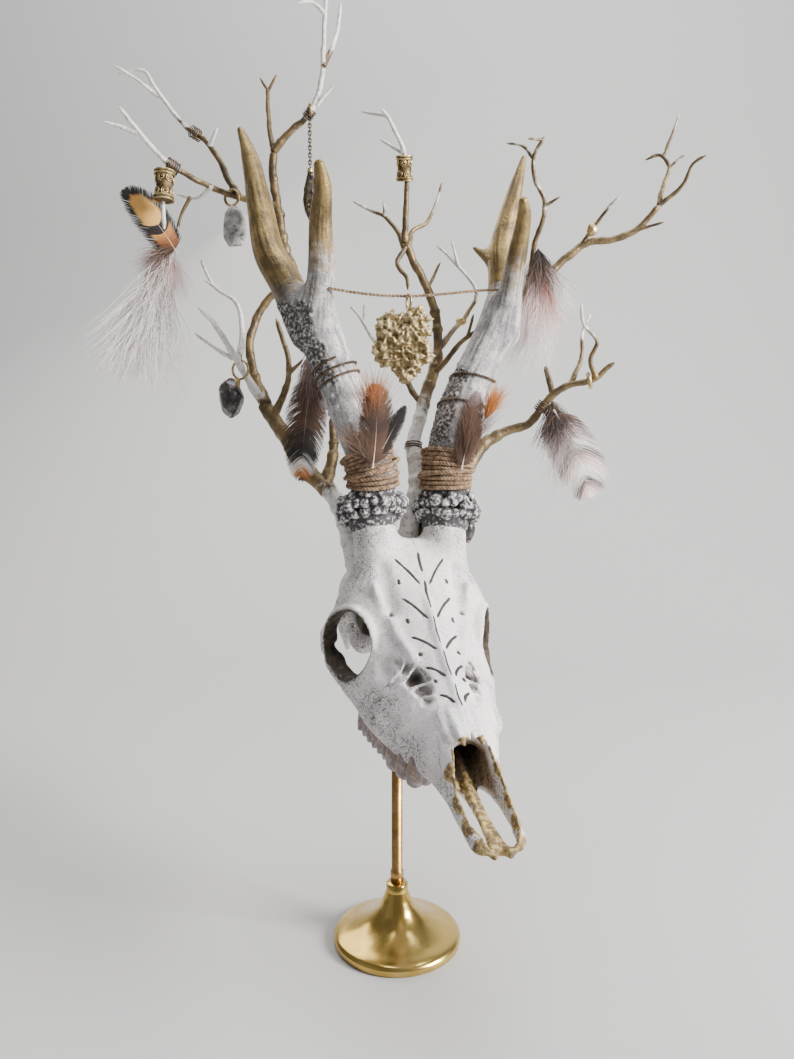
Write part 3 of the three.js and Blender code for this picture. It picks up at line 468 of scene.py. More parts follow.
def point_normals(points, quads):
    """Directions that point out of a skin at each of its points."""
    normals = np.zeros_like(points)
    face = np.cross(points[quads[:, 2]] - points[quads[:, 0]], points[quads[:, 3]] - points[quads[:, 1]])
    for k in range(4):
        np.add.at(normals, quads[:, k], face)
    return unit(normals)


def relaxed(points, quads, rounds):
    """Points drawn towards the middle of their neighbours."""
    pairs = np.concatenate([quads[:, [k, (k + 1) % 4]] for k in range(4)])
    count = np.maximum(np.bincount(pairs[:, 0], minlength=len(points)), 1)[:, None]
    for _ in range(rounds):
        total = np.stack([np.bincount(pairs[:, 0], points[pairs[:, 1], k], len(points))
                          for k in range(3)], axis=1)
        points = 0.5 * points + 0.5 * total / count
    return points


def hollowness(points, quads, normals, rounds):
    """How far the skin lies below its own smoothed shape, positive in hollows."""
    return np.sum((relaxed(points, quads, rounds) - points) * normals, axis=1)


# Shaders

class Wire:
    """A shader value that takes part in arithmetic by adding Math nodes."""

    def __init__(self, nodes, socket):
        self.nodes, self.socket = nodes, socket

    def math(self, operation, *values):
        return self.nodes.node("ShaderNodeMath", {"operation": operation}, dict(enumerate(values)))

    def __add__(self, other):
        return self.math("ADD", self, other)

    def __sub__(self, other):
        return self.math("SUBTRACT", self, other)

    def __rsub__(self, other):
        return self.math("SUBTRACT", other, self)

    def __mul__(self, other):
        return self.math("MULTIPLY", self, other)

    def __rtruediv__(self, other):
        return self.math("DIVIDE", other, self)

    __radd__ = __add__
    __rmul__ = __mul__

    def between(self, low, high):
        """From 0 at low to 1 at high, with soft ends."""
        settings = {"interpolation_type": "SMOOTHSTEP"}
        inputs = {"Value": self, "From Min": low, "From Max": high}
        return self.nodes.node("ShaderNodeMapRange", settings, inputs)


class Nodes:
    """A node tree that is built from Python."""

    def node(self, kind, settings=None, inputs=None, out=0):
        """Add a node of a kind, with its settings first and then the values or links of its sockets."""
        node = self.tree.nodes.new(kind)
        for key, value in (settings or {}).items():
            setattr(node, key, value)
        for key, value in (inputs or {}).items():
            self.feed(node.inputs[key], value)
        return Wire(self, node.outputs[out])

    def feed(self, socket, value):
        """Give a socket a value or a link."""
        if isinstance(value, Wire):
            self.tree.links.new(value.socket, socket)
        else:
            socket.default_value = value


class Finish(Nodes):
    """A material whose nodes are added from Python."""

    def __init__(self, name, **constants):
        self.material = bpy.data.materials.new(name)
        self.material.use_nodes = True
        self.tree = self.material.node_tree
        self.shader = self.tree.nodes["Principled BSDF"]
        for key, value in constants.items():
            self.shader.inputs[key.replace("_", " ")].default_value = value
        self.place = self.node("ShaderNodeTexCoord", out="Object")

    def set(self, socket, value):
        """Give the shader's own socket a value or a link."""
        self.feed(self.shader.inputs[socket], value)

    def noise(self, size, detail=3.0, roughness=0.55):
        """Soft noise with features of a size in millimetres."""
        inputs = {"Vector": self.place, "Scale": 1 / (size * MM), "Detail": detail, "Roughness": roughness}
        return self.node("ShaderNodeTexNoise", None, inputs)

    def spots(self, size, radius):
        """Round specks of random size: 1 in a speck and 0 outside it."""
        inputs = {"Vector": self.place, "Scale": 1 / (size * MM)}
        cells = self.node("ShaderNodeTexVoronoi", None, inputs)
        chance = self.node("ShaderNodeSeparateColor", None, {"Color": self.node(
            "ShaderNodeTexVoronoi", None, inputs, out="Color")})
        return (chance * radius - cells).between(0.0, 0.06)

    def attribute(self, name, out="Fac"):
        """A value stored on the mesh."""
        return self.node("ShaderNodeAttribute", {"attribute_name": name}, out=out)

    def mix(self, share, a, b):
        """From colour a to colour b."""
        sockets = {0: share, 6: self.colour(a), 7: self.colour(b)}
        return self.node("ShaderNodeMix", {"data_type": "RGBA"}, sockets, out=2)

    @staticmethod
    def colour(value):
        return value if isinstance(value, Wire) else (*value, 1.0)

    def bump(self, height, depth):
        """Raise the surface by a height from 0 to 1 times a depth in millimetres."""
        inputs = {"Height": height, "Distance": depth * MM, "Strength": 1.0}
        self.set("Normal", self.node("ShaderNodeBump", None, inputs))


# Geometry Nodes

class Tree(Nodes):
    """A Geometry Nodes tree that is built step by step."""

    def __init__(self, name, inputs):
        self.tree = bpy.data.node_groups.new(name, "GeometryNodeTree")
        sockets = self.tree.interface
        sockets.new_socket("Geometry", in_out="INPUT", socket_type="NodeSocketGeometry")
        sockets.new_socket("Geometry", in_out="OUTPUT", socket_type="NodeSocketGeometry")
        self.keys = {}
        for label, kind in inputs.items():
            self.keys[label] = sockets.new_socket(label, in_out="INPUT", socket_type=kind).identifier
        self.start = self.tree.nodes.new("NodeGroupInput")
        self.end = self.tree.nodes.new("NodeGroupOutput")

    def input(self, label):
        """One of the tree's own inputs."""
        return Wire(self, self.start.outputs[label])

    def finish(self, geometry):
        """End in realized instances and the material."""
        real = self.node("GeometryNodeRealizeInstances", None, {"Geometry": geometry})
        inputs = {"Geometry": real, "Material": self.input("Material")}
        self.feed(self.end.inputs[0], self.node("GeometryNodeSetMaterial", None, inputs))

    def mesh(self, thing, name, values):
        """Run the tree on a curve, and give its result as a plain mesh."""
        modifier = thing.modifiers.new(name, "NODES")
        modifier.node_group = self.tree
        for label, value in values.items():
            modifier[self.keys[label]] = value
        bpy.context.view_layer.update()
        graph = bpy.context.evaluated_depsgraph_get()
        mesh = bpy.data.meshes.new_from_object(thing.evaluated_get(graph), depsgraph=graph)
        mesh.name = name
        source = thing.data
        bpy.data.objects.remove(thing)
        bpy.data.curves.remove(source)
        return mesh


def rod_tree():
    """Round rods along curves, thick as the curve's radius, with a rough surface."""
    tree = Tree("Rods along curves", {
        "Sides": "NodeSocketInt", "Roughness": "NodeSocketFloat", "Lump size": "NodeSocketFloat",
        "Seed": "NodeSocketFloat", "Material": "NodeSocketMaterial"})
    ring = tree.node("GeometryNodeCurvePrimitiveCircle", None, {
        "Resolution": tree.input("Sides"), "Radius": 1.0})
    rods = tree.node("GeometryNodeCurveToMesh", None, {
        "Curve": tree.input("Geometry"), "Profile Curve": ring, "Fill Caps": True,
        "Scale": tree.node("GeometryNodeInputRadius")})
    noise = tree.node("ShaderNodeTexNoise", {"noise_dimensions": "4D"}, {
        "W": tree.input("Seed"), "Scale": 1 / tree.input("Lump size"), "Detail": 2.0})
    shift = tree.node("ShaderNodeVectorMath", {"operation": "SCALE"}, {
        0: tree.node("GeometryNodeInputNormal"), "Scale": (noise - 0.5) * tree.input("Roughness")})
    moved = tree.node("GeometryNodeSetPosition", None, {"Geometry": rods, "Offset": shift})
    tree.finish(tree.node("GeometryNodeSetShadeSmooth", None, {"Geometry": moved}))
    return tree


def curves(name, lines):
    """A curve object from lines of points and radii in millimetres."""
    data = bpy.data.curves.new(name, "CURVE")
    data.dimensions = "3D"
    for points, radii in lines:
        spline = data.splines.new("POLY")
        spline.points.add(len(points) - 1)
        full = np.concatenate([np.asarray(points) * MM, np.ones((len(points), 1))], axis=1)
        spline.points.foreach_set("co", full.ravel())
        thickness = np.broadcast_to(np.asarray(radii) * MM, len(points))
        spline.points.foreach_set("radius", thickness.astype(float))
    thing = bpy.data.objects.new(name, data)
    bpy.context.scene.collection.objects.link(thing)
    return thing


# The Geometry Nodes trees, made once by the first operator that needs them
TREES = {}


def rods(name, lines, material, sides=8, roughness=0.0, lump=4.0, seed=1):
    """A mesh of rods along lines of points and radii in millimetres."""
    values = {"Sides": sides, "Roughness": roughness * MM, "Lump size": lump * MM, "Seed": float(seed),
              "Material": material}
    return TREES["rods"].mesh(curves(name, lines), name, values)


def rod_piece(name, lines, material, slot, *nodes, sides=8):
    """A piece made of rods along lines."""
    return piece(name, rods(name, lines, material, sides), None, slot, *nodes)


def tubes(rings):
    """Closed tubes from rings of points, given as tube, ring, point on the ring, coordinate."""
    count, length, sides, _ = rings.shape
    number = np.arange(count * length * sides).reshape(count, length, sides)
    turned = np.roll(number, -1, axis=2)
    walls = np.stack([number[:, :-1], turned[:, :-1], turned[:, 1:], number[:, 1:]], axis=-1).reshape(-1, 4)
    caps = np.concatenate([number[:, 0, ::-1], number[:, -1]])
    return rings.reshape(-1, 3), [walls, caps]


def merged(parts):
    """One set of points and face blocks from several."""
    points, faces, start = [], {}, 0
    for part_points, blocks in parts:
        points.append(part_points)
        for block in blocks:
            faces.setdefault(block.shape[1], []).append(block + start)
        start += len(part_points)
    return np.concatenate(points), [np.concatenate(blocks) for blocks in faces.values()]


def drawn_on(skin, lines, lift):
    """Closed raised strokes that follow a skin, from lines of points and widths in millimetres."""
    parts = []
    for points, width in lines:
        path, share = smooth_path(points, 0.6)
        spots = [skin.find_nearest(Vector(p)) for p in path]
        path = np.array([spot[0] for spot in spots])
        normal = np.array([spot[1] for spot in spots])
        aside = unit(np.cross(np.gradient(path, axis=0), normal))
        half = 0.5 * width * np.clip(np.minimum(share, 1 - share) * 8 + 0.25, 0, 1)[:, None]
        half = half * (0.8 + 0.4 * grain(path, 3.0, 5)[:, None])
        rings = [path - aside * half, path + normal * lift, path + aside * half]
        for k in (0, 2):
            foot = [skin.find_nearest(Vector(p)) for p in rings[k]]
            rings[k] = np.array([f[0] - f[1] * 0.1 for f in foot])
        parts.append(tubes(np.stack(rings, axis=1)[None]))
    return merged(parts)


# Bone

def roof_height(x, back):
    """Height of the skull's roof over a place, before anything is carved."""
    table = np.array(SKULL_SECTIONS, float)
    top, half, widest, roof = (float(smooth_curve(back, table[:, 0], table[:, k])) for k in (1, 3, 4, 5))
    return widest + (top - widest) * (1 - (abs(x) / half) ** roof) ** (1 / roof)


def bone_clay(step):
    """The right half of the skull with its openings, in the skull's axes."""
    clay = Clay((0, -3, -4), (50, 212, 113), step)
    add, carve = clay.add, clay.carve
    add(loft(SKULL_SECTIONS))
    # Hollow before the eye, the eye socket, the temple and the space under it
    carve(ball((26, 92, 46), (6, 11, 8)), 4.0)
    carve(ball(ORBIT, (26, 17, 16.5), yaw=ORBIT_FACES_FORWARD), 1.5)
    carve(ball((31, 152, 45), (7.6, 20, 15)), 3.0)
    carve(ball((24, 152, 24), (16, 34, 14)), 3.0)
    # Rim of the socket, cheek arch, cheek ridge, antler foot and brow ridge
    add(hoop(ORBIT_EDGE, ORBIT_FACING, ORBIT_RIM, 1.5, 3.8), 1.6)
    add(strand([(39, 136, 29), (41.5, 148, 30), (40, 160, 33), (33, 171, 37), (25, 178, 41)],
               [3.4, 3, 3, 3.8, 5]), 3.0)
    add(strand([(28, 96, 22), (35, 114, 25), (39.5, 134, 29)], [4, 4.6, 4]), 4.0)
    add(strand([PEDICLE_ROOT, PEDICLE_TOP], [12.8, PEDICLE_RADIUS]), 6.0)
    add(strand([(30, 139, 63), (24, 128, 72), (19.5, 117.9, 62.6), (16.7, 106.4, 55), (12.8, 94, 50.4)],
               [2.6, 2.2, 1.7, 1.4, 0.9]), 4.0)
    # Swelling over the teeth, ear capsule, its spur, neck joint, nape crest, nose ridge and palate hook
    add(ball((27, 84, 21), (3.4, 9, 4)), 4.0)
    add(ball((14, 178, 21), (7.5, 10, 8)), 2.0)
    add(strand([(21, 188, 34), (21, 192, 22), (19, 191, 10)], [6, 4.5, 1.6]), 2.0)
    add(ball((10.5, 199, 35), (7.5, 7, 9)), 2.0)
    add(ball((0, 196, 58), (22, 3.4, 5)), 4.0)
    add(strand([(0, 118, 69.4), (0, 100, 58.2), (0, 80, 49.6), (0, 60, 41.4), (1, 50, 37)],
               [1.2, 1.3, 1.3, 1.3, 1.2]), 3.0)
    add(strand([(8.6, 119, 20), (8.6, 128, 15), (8.6, 138, 21)], [1.6, 1.4, 1.4]), 3.0)
    # Nose, notch at its tip, slits in the palate, palate vault and the opening at the neck
    carve(loft(NASAL_CAVITY), 0.8)
    carve(ball((0, -0.5, 12), (2.2, 8, 9)), 1.0)
    carve(ball((5.8, 25.5, 9), (4.0, 20, 11)), 1.0)
    carve(ball((0, 86, 7), (10.5, 38, 7)), 3.0)
    carve(ball((0, 203, 42), (9, 16, 8.5)), 2.0)
    # Rods and plates inside the nose, and the points of the nasal bones
    add(strand([(3.4, 4.6, 10.2), (2.2, 12, 10.2), (1.4, 26, 12), (0.8, 42, 15), (0, 60, 21)],
               [1.5, 1.2, 1.0, 1.2, 1.6]), 1.2)
    add(ball((0, 76, 25), (1.4, 14, 8)), 1.5)
    add(ball((0, 60, 16), (12, 11, 2.4), pitch=0.25), 2.0)
    for points, radii in (
            ([(4.8, 60, 38.8), (4.6, 50, 36.4), (4.2, 43.5, 34.4)], [3.2, 2.4, 0.9]),
            ([(8.5, 62, 37.4), (8.6, 53, 34.6), (7.6, 48, 33.4)], [2.8, 2, 0.8]),
            ([(1.4, 60, 40.2), (1.3, 51, 37.2), (1.2, 46, 36)], [2.2, 1.6, 0.8])):
        add(strand(points, radii), 1.5)
    # Gap between the bones beside the nose, and the splinters across it
    carve(strand([(20, 97, 46.5), (16, 89, 46), (12.5, 79, 46), (13.5, 70.5, 42)],
                 [2.4, 4.2, 4.4, 3.8]), 0.4)
    carve(strand([(15, 87, 44), (13, 76, 43)], [4.6, 4.4]), 0.4)
    for spots in (((8, 78), (12, 80), (18, 82)), ((11, 91), (14.5, 89), (20, 87)),
                  ((15, 97), (18, 93), (23, 92)), ((9, 71), (12.5, 74), (18, 74))):
        points = [(x, back, roof_height(x, back) - 1.2) for x, back in spots]
        add(strand(points, [1.3, 0.7, 1.2]), 0.8)
    # Furrow over the eye with its hole, and holes for vessels
    carve(strand([(19.5, 134, 80.5), (19, 126, 73.6), (18.8, 117, 65.6)], [1.4, 2.8, 2.6]), 5.0)
    carve(ball((18.2, 116.5, 62), (1.2, 2.0, 3.2)), 0.5)
    for spot in ((30.6, 88.4, 22.9), (20.9, 73.6, 33.9), (8.5, 55, 39.4), (24.6, 70, 24)):
        carve(ball(spot, (1.1, 1.1, 1.1)), 0.3)
    return clay


def tooth_row(back):
    """How far along the row of teeth a place lies, and how far it stands from the middle plane."""
    start, span = TOOTH_ROW_BEND
    share = min(max((back - start) / span, 0), 1)
    return share, TOOTH_ROW_ASIDE + TOOTH_ROW_WIDENING * share ** 0.85


def tooth_clay(step):
    """The right row of cheek teeth: ridged outer walls, paired cusps and the valley between them."""
    clay = Clay((6, 52, -5), (36, 122, 20), step)
    start = TOOTH_ROW_FRONT
    for number, length in enumerate(TOOTH_LENGTHS):
        lobes = 2 if number > 2 else 1
        for lobe in range(lobes):
            back = start + length * (lobe + 0.5) / lobes
            share, x = tooth_row(back)
            lift = 3.5 * (1 - share) ** 2
            half = length / lobes / 2
            outer, inner = x + 2.6, x - 2.4
            outer_wall = [(outer - 0.6, back, 17), (outer, back, 8 + lift), (outer - 0.2, back, 4.4 + lift)]
            clay.add(strand(outer_wall, [half, half * 1.04, half]), 0.4)
            inner_wall = [(inner, back, 16), (inner, back + 0.3, 8 + lift), (inner + 0.2, back, 4.8 + lift)]
            clay.add(strand(inner_wall, [half, half, half * 0.94]), 0.4)
            cusp = [(outer - 0.2, back, 5 + lift), (outer - 0.4, back, 1.0 + lift)]
            clay.add(strand(cusp, [half * 0.85, half * 0.22]), 0.8)
            ridge = [(outer + half * 0.75, back, 12), (outer + half * 0.6, back, 2.6 + lift)]
            clay.add(strand(ridge, [1.0, 0.9]), 1.0)
        start += length
    for number in range(1, len(TOOTH_LENGTHS)):
        back = TOOTH_ROW_FRONT + sum(TOOTH_LENGTHS[:number])
        _, x = tooth_row(back)
        clay.carve(strand([(x + 6.8, back, 15), (x + 5.6, back, -2)], [0.8, 1.3]), 0.6)
    return clay


def nearness(points, spots):
    """From 1 near any of the spots, given as x, back, up and radius, down to 0 at the radius."""
    best = np.zeros(len(points))
    for *centre, radius in spots:
        gap = np.linalg.norm(np.abs(points * (1, 0, 0)) + points * (0, 1, 1) - centre, axis=1)
        best = np.maximum(best, 1 - ramp(gap, 0.35 * radius, radius))
    return best


# Places where soot and painted shade gather, and where gilding lies: x, back, up and radius
SOOT_AND_SHADE_SPOTS = [(38, 138, 30, 22), (34, 118, 28, 16), (20, 154, 90, 17), (28, 145, 70, 18), (27, 88, 18, 24),
         (18, 62, 18, 14), (15, 32, 14, 16), (12, 10, 11, 10), (36, 150, 55, 22), (14, 84, 45, 9),
         (18, 172, 34, 34)]
GILDED = [(0, 4, 10, 12), (0, 12, 10, 8), (1, 20, 11, 7), (1, 28, 12, 7), (0, 36, 14, 7), (0, 44, 15, 8),
          (11, 26, 20, 7), (12, 38, 26, 7), (4, 44, 34, 6), (10, 16, 16, 7), (7, 6, 12, 8)]


def socket_wall(points, normals):
    """From 0 to 1 on the walls that face the middle of an eye socket."""
    side = np.sign(points[:, :1] + 1e-9)
    to_right = np.concatenate([side, side * 0 + 1, side * 0 + 1], axis=1)
    offset = points * to_right - ORBIT_EDGE
    height = offset @ unit(ORBIT_FACING)
    outward = offset - height[:, None] * unit(ORBIT_FACING)
    turned_in = -np.sum(unit(outward) * (normals * to_right), axis=1)
    near = (1 - ramp(np.linalg.norm(outward, axis=1), 17.5, 20.5)) * ramp(height, -30, -26)
    return near * ramp(turned_in, 0.0, 0.45)


def skull_meshes(step, tooth_step):
    """Bone and teeth as meshes, and the bone's skin for things that lie on it."""
    clay = bone_clay(step).mirrored()
    points, quads = clay.skin()
    normals = point_normals(points, quads)
    rough = grain(points, 5.0, 11, 3) - 0.5
    pitted = ramp(grain(points, 2.2, 14, 2), 0.66, 0.82) * (0.25 + nearness(points, SOOT_AND_SHADE_SPOTS))
    points = points + normals * (0.55 * rough - 0.5 * pitted)[:, None]
    normals = point_normals(points, quads)
    # Painted shade: how far each point lies in a hollow, darkened in the bone's colour
    hollow = np.clip(hollowness(points, quads, normals, 8) / 0.5, 0, 1)
    depth = -loft(SKULL_SECTIONS).distance(*points.T)
    # Painted shade: the deep places below the outer form and the inner walls of the eye sockets, which the
    # bone's colour darkens
    inner = ramp(depth, 1.6, 6.0) * (points[:, 1] > 8)
    inner = inner * (1 - ramp(points[:, 1], 168, 176) * (points[:, 2] < 30))
    inner = np.maximum(inner, socket_wall(points, normals))
    placed, faces = from_skull(points), quads[:, ::-1]
    bone = new_mesh("skull_bone", placed, faces)
    cavity = loft(NASAL_CAVITY).distance(*points.T)
    rim = (1 - ramp(np.abs(cavity), 0.7, 2.2)) * (1 - ramp(np.abs(depth), 0.8, 2.4)) * (points[:, 1] < 46)
    attach(bone, hollow=hollow, inner=inner, soot=nearness(points, SOOT_AND_SHADE_SPOTS),
           gilt=np.maximum(nearness(points, GILDED), rim), nose=1 - ramp(points[:, 1], 46, 62))
    skin = BVHTree.FromPolygons(placed.tolist(), faces.tolist())
    row, row_quads = tooth_clay(tooth_step).skin()
    row = row + point_normals(row, row_quads) * (0.15 * (grain(row, 3.0, 21, 2) - 0.5))[:, None]
    both = merged([(row, [row_quads[:, ::-1]]), (row * (-1, 1, 1), [row_quads])])
    teeth = new_mesh("skull_teeth", from_skull(both[0]), both[1])
    # Painted shade: how far each point of the teeth lies in a hollow, darkened in their colour
    shade = np.clip(hollowness(row, row_quads, point_normals(row, row_quads), 10) / 0.4, 0, 1)
    attach(teeth, hollow=np.tile(shade, 2), rootward=np.tile(ramp(row[:, 2], 3, 13), 2))
    return bone, teeth, skin


def crown_height(skin, x, back):
    """The point of the skull's top over a place on it, in the model's axes."""
    start = from_skull((x, back, 130))
    hit = skin.ray_cast(Vector(start), Vector(from_skull((x, back, 0)) - start))
    return np.array(hit[0])


# Painted pattern: dashes from front to back, pairs as back, reach and drop, dots as back and aside
PAINT_DASHES = [(60, 72), (76, 90), (94, 108), (112, 126), (130, 141)]
PAINT_PAIRS = [(137, 13, 13), (120, 12.5, 12), (103, 11.5, 11), (86, 9, 9), (70, 7, 7)]
PAINT_DOTS = [(127, 12.5), (110, 11.5), (93, 9.4), (77, 6.8)]
DASH_WIDTH = 2.4
PAIR_WIDTH = 2.2
DOT_WIDTH = 3.0
DOT_HALF_LENGTH = 1.2


def paint_lines(skin):
    """A plain painted pattern down the middle of the face: a broken line, slanting pairs and dots."""
    def over(*spots):
        return [crown_height(skin, x, back) for x, back in spots]
    lines = []
    for front, back in PAINT_DASHES:
        lines.append((over((-0.3, back), (0.2, (front + back) / 2), (0, front)), DASH_WIDTH))
    for back, reach, drop in PAINT_PAIRS:
        for side in (-1, 1):
            lines.append((over((side * 2.2, back - drop), (side * reach * 0.6, back - drop * 0.4),
                               (side * reach, back)), PAIR_WIDTH))
    for back, aside in PAINT_DOTS:
        for side in (-1, 1):
            lines.append((over((side * aside, back - DOT_HALF_LENGTH), (side * aside + 0.2, back),
                               (side * aside, back + DOT_HALF_LENGTH)), DOT_WIDTH))
    return lines


SEAM_WIDTH = 0.5
SEAM_LIFT = 0.05
SEAM_WANDER = 2.6
SUTURES = [
    [(1, 101, 60), (5, 100, 57), (8, 96, 54), (11, 95, 52)],
    [(9.5, 70, 43), (10.6, 62, 39.5), (11, 55, 36)],
    [(20, 96, 44), (24, 92, 38), (28, 94, 33), (32, 98, 31)],
    [(31, 98, 31.5), (27, 90, 33), (23.5, 83, 34.5), (20, 77, 35)],
    [(13, 52, 33), (14.6, 45, 26), (14.6, 40, 19), (14, 38, 12)],
    [(34, 112, 27), (30, 104, 22), (26, 98, 17), (23, 94, 13)],
    [(41.8, 142, 29), (40, 150, 32.5), (41, 156, 30)],
    [(2, 156, 90), (9, 160, 86), (17, 166, 76), (25, 168, 66)],
    [(0.5, 144, 88), (-0.5, 152, 90), (0.4, 160, 88), (0, 176, 78)],
    [(26, 76, 26), (24, 70, 20), (22, 66, 14)],
]


def suture_lines():
    """Fine wavy seams between the bones, on both sides."""
    lines = []
    for number, seam in enumerate(SUTURES):
        for side in (-1, 1):
            path, _ = smooth_path(np.array(seam, float) * (side, 1, 1), 1.1)
            wander = np.stack([grain(path, 1.5, 31 + number + 7 * k, 2) - 0.5 for k in range(3)], axis=1)
            lines.append((from_skull(path + SEAM_WANDER * wander), SEAM_WIDTH))
    return lines


# Antlers

SPIKE_RADII = [5, 3, 1]
# Rows of pearls on the burr: height, radius, count and size
PEARL_ROWS = [(1.6, 14.8, 25, 2.5), (5.6, 16.4, 23, 2.9), (9.8, 15.0, 21, 2.6), (13.4, 12.2, 15, 1.7)]
BEAM_PEARLS = 46
ANTLER_SEED = 60
# Where along the beam, front tine, rear tine and spike the gilding starts and is full
GILD_SPANS = [(2.0, 3.0), (-0.15, 0.8), (0.0, 0.3), (-0.6, -0.2)]


def antler_paths(antler):
    """The beam from the burr up, and the tines, each as points and radii."""
    side = antler["side"]
    foot = from_skull([np.array(PEDICLE_TOP) * (side, 1, 1), np.array(PEDICLE_ROOT) * (side, 1, 1)])
    axis = unit(foot[0] - foot[1])
    base = foot[0] + 0.4 * axis
    named = {"beam": ([base] + antler["beam"], antler["beam_radii"])}
    for key in ("front", "rear"):
        named[key] = (antler[key], antler[key + "_radii"])
    if antler["spike"]:
        named["spike"] = (antler["spike"], SPIKE_RADII)
    paths = {}
    for key, (points, radii) in named.items():
        path, share = smooth_path(points, 3.0)
        paths[key] = (path, np.interp(share, np.linspace(0, 1, len(radii)), radii), share)
    return base, axis, paths


def antler_mesh(name, antler, step, seed):
    """An antler with a pearled burr, a grooved beam and rough bark-like patches."""
    rng = np.random.default_rng(seed)
    base, axis, paths = antler_paths(antler)
    lines, _, shares = zip(*paths.values())
    line, share = np.concatenate(lines), np.concatenate(shares)
    clay = Clay(line.min(axis=0) - 22, line.max(axis=0) + 22, step)
    for key, (path, radii, _) in paths.items():
        clay.add(strand(path, radii), 0.0 if key == "beam" else 5.0)
    clay.add(strand([base + 1.0 * axis, base + 7 * axis], [BURR_RADIUS - 1, BURR_RADIUS - 1.6]), 3.0)
    across = unit(np.cross(axis, (0.2, 0.9, 0.1)))
    level = np.cross(axis, across)
    for height, radius, count, size in PEARL_ROWS:
        for k in range(count):
            turn = FULL_TURN * (k + 0.5 * rng.random()) / count
            out = across * math.cos(turn) + level * math.sin(turn)
            spot = base + axis * (height + rng.normal(0, 0.7)) + out * (radius + rng.normal(0, 0.5))
            clay.add(ball(spot, np.full(3, size * rng.uniform(0.75, 1.25))), 0.7)
    beam, beam_radii, _ = paths["beam"]
    _, one, two = along_and_across(beam)
    for _ in range(BEAM_PEARLS):
        k = int(rng.integers(5, len(beam) * 0.72))
        turn = rng.uniform(0, FULL_TURN)
        out = one[k] * math.cos(turn) + two[k] * math.sin(turn)
        clay.add(ball(beam[k] + out * (beam_radii[k] - 0.2), np.full(3, rng.uniform(0.8, 1.7))), 0.9)
    points, quads = clay.skin()
    normals = point_normals(points, quads)
    kind = np.concatenate([np.full(len(path), k) for k, path in enumerate(lines)])
    _, one, two = (np.concatenate(part) for part in zip(*map(along_and_across, lines)))
    near = np.array([np.argmin(((line - p) ** 2).sum(axis=1)) for p in points])
    offset = points - line[near]
    turn = np.stack([np.sum(offset * one[near], axis=1), np.sum(offset * two[near], axis=1)], axis=1)
    drawn = np.concatenate([unit(turn) * 7.5, (points[:, 2:] / 14)], axis=1)
    streak = grain(drawn, 1.0, seed + 3, 2)
    groove = ramp(streak, 0.5, 0.74)
    low, high = antler["bark_span"]
    zone = ramp(points[:, 2], low, low + 14) * (1 - ramp(points[:, 2], high - 14, high))
    zone = zone * ramp(normals @ unit(antler["bark_side"]), 0.1, 0.75)
    bark = ramp(zone + 0.9 * (grain(points, 6.0, seed + 5, 3) - 0.5), 0.38, 0.82)
    height = (points - base) @ axis
    burr = (1 - ramp(height, 14, 20)) * (np.linalg.norm(points - base, axis=1) < 26)
    crust = bark * (grain(points, 1.8, seed + 8, 2) - 0.25) * 1.3
    knobs = burr * (grain(points, 1.6, seed + 9, 2) - 0.5)
    points = points + normals * (crust + 0.9 * knobs - 0.3 * groove * (1 - burr))[:, None]
    normals = point_normals(points, quads)
    gild = np.zeros(len(points))
    for k, (low, high) in enumerate(GILD_SPANS):
        gild = np.where(kind[near] == k, ramp(share[near], low, high), gild)
    mesh = new_mesh(name, points, quads)
    hollow = np.clip(0.5 + hollowness(points, quads, normals, 8) / 0.9, 0, 1)
    attach(mesh, groove=groove, bark=bark, burr=burr, gild=gild, hollow=hollow)
    return mesh


# Branches, in the model's axes: for each node its pale share and its limbs as points, thick and thin radius

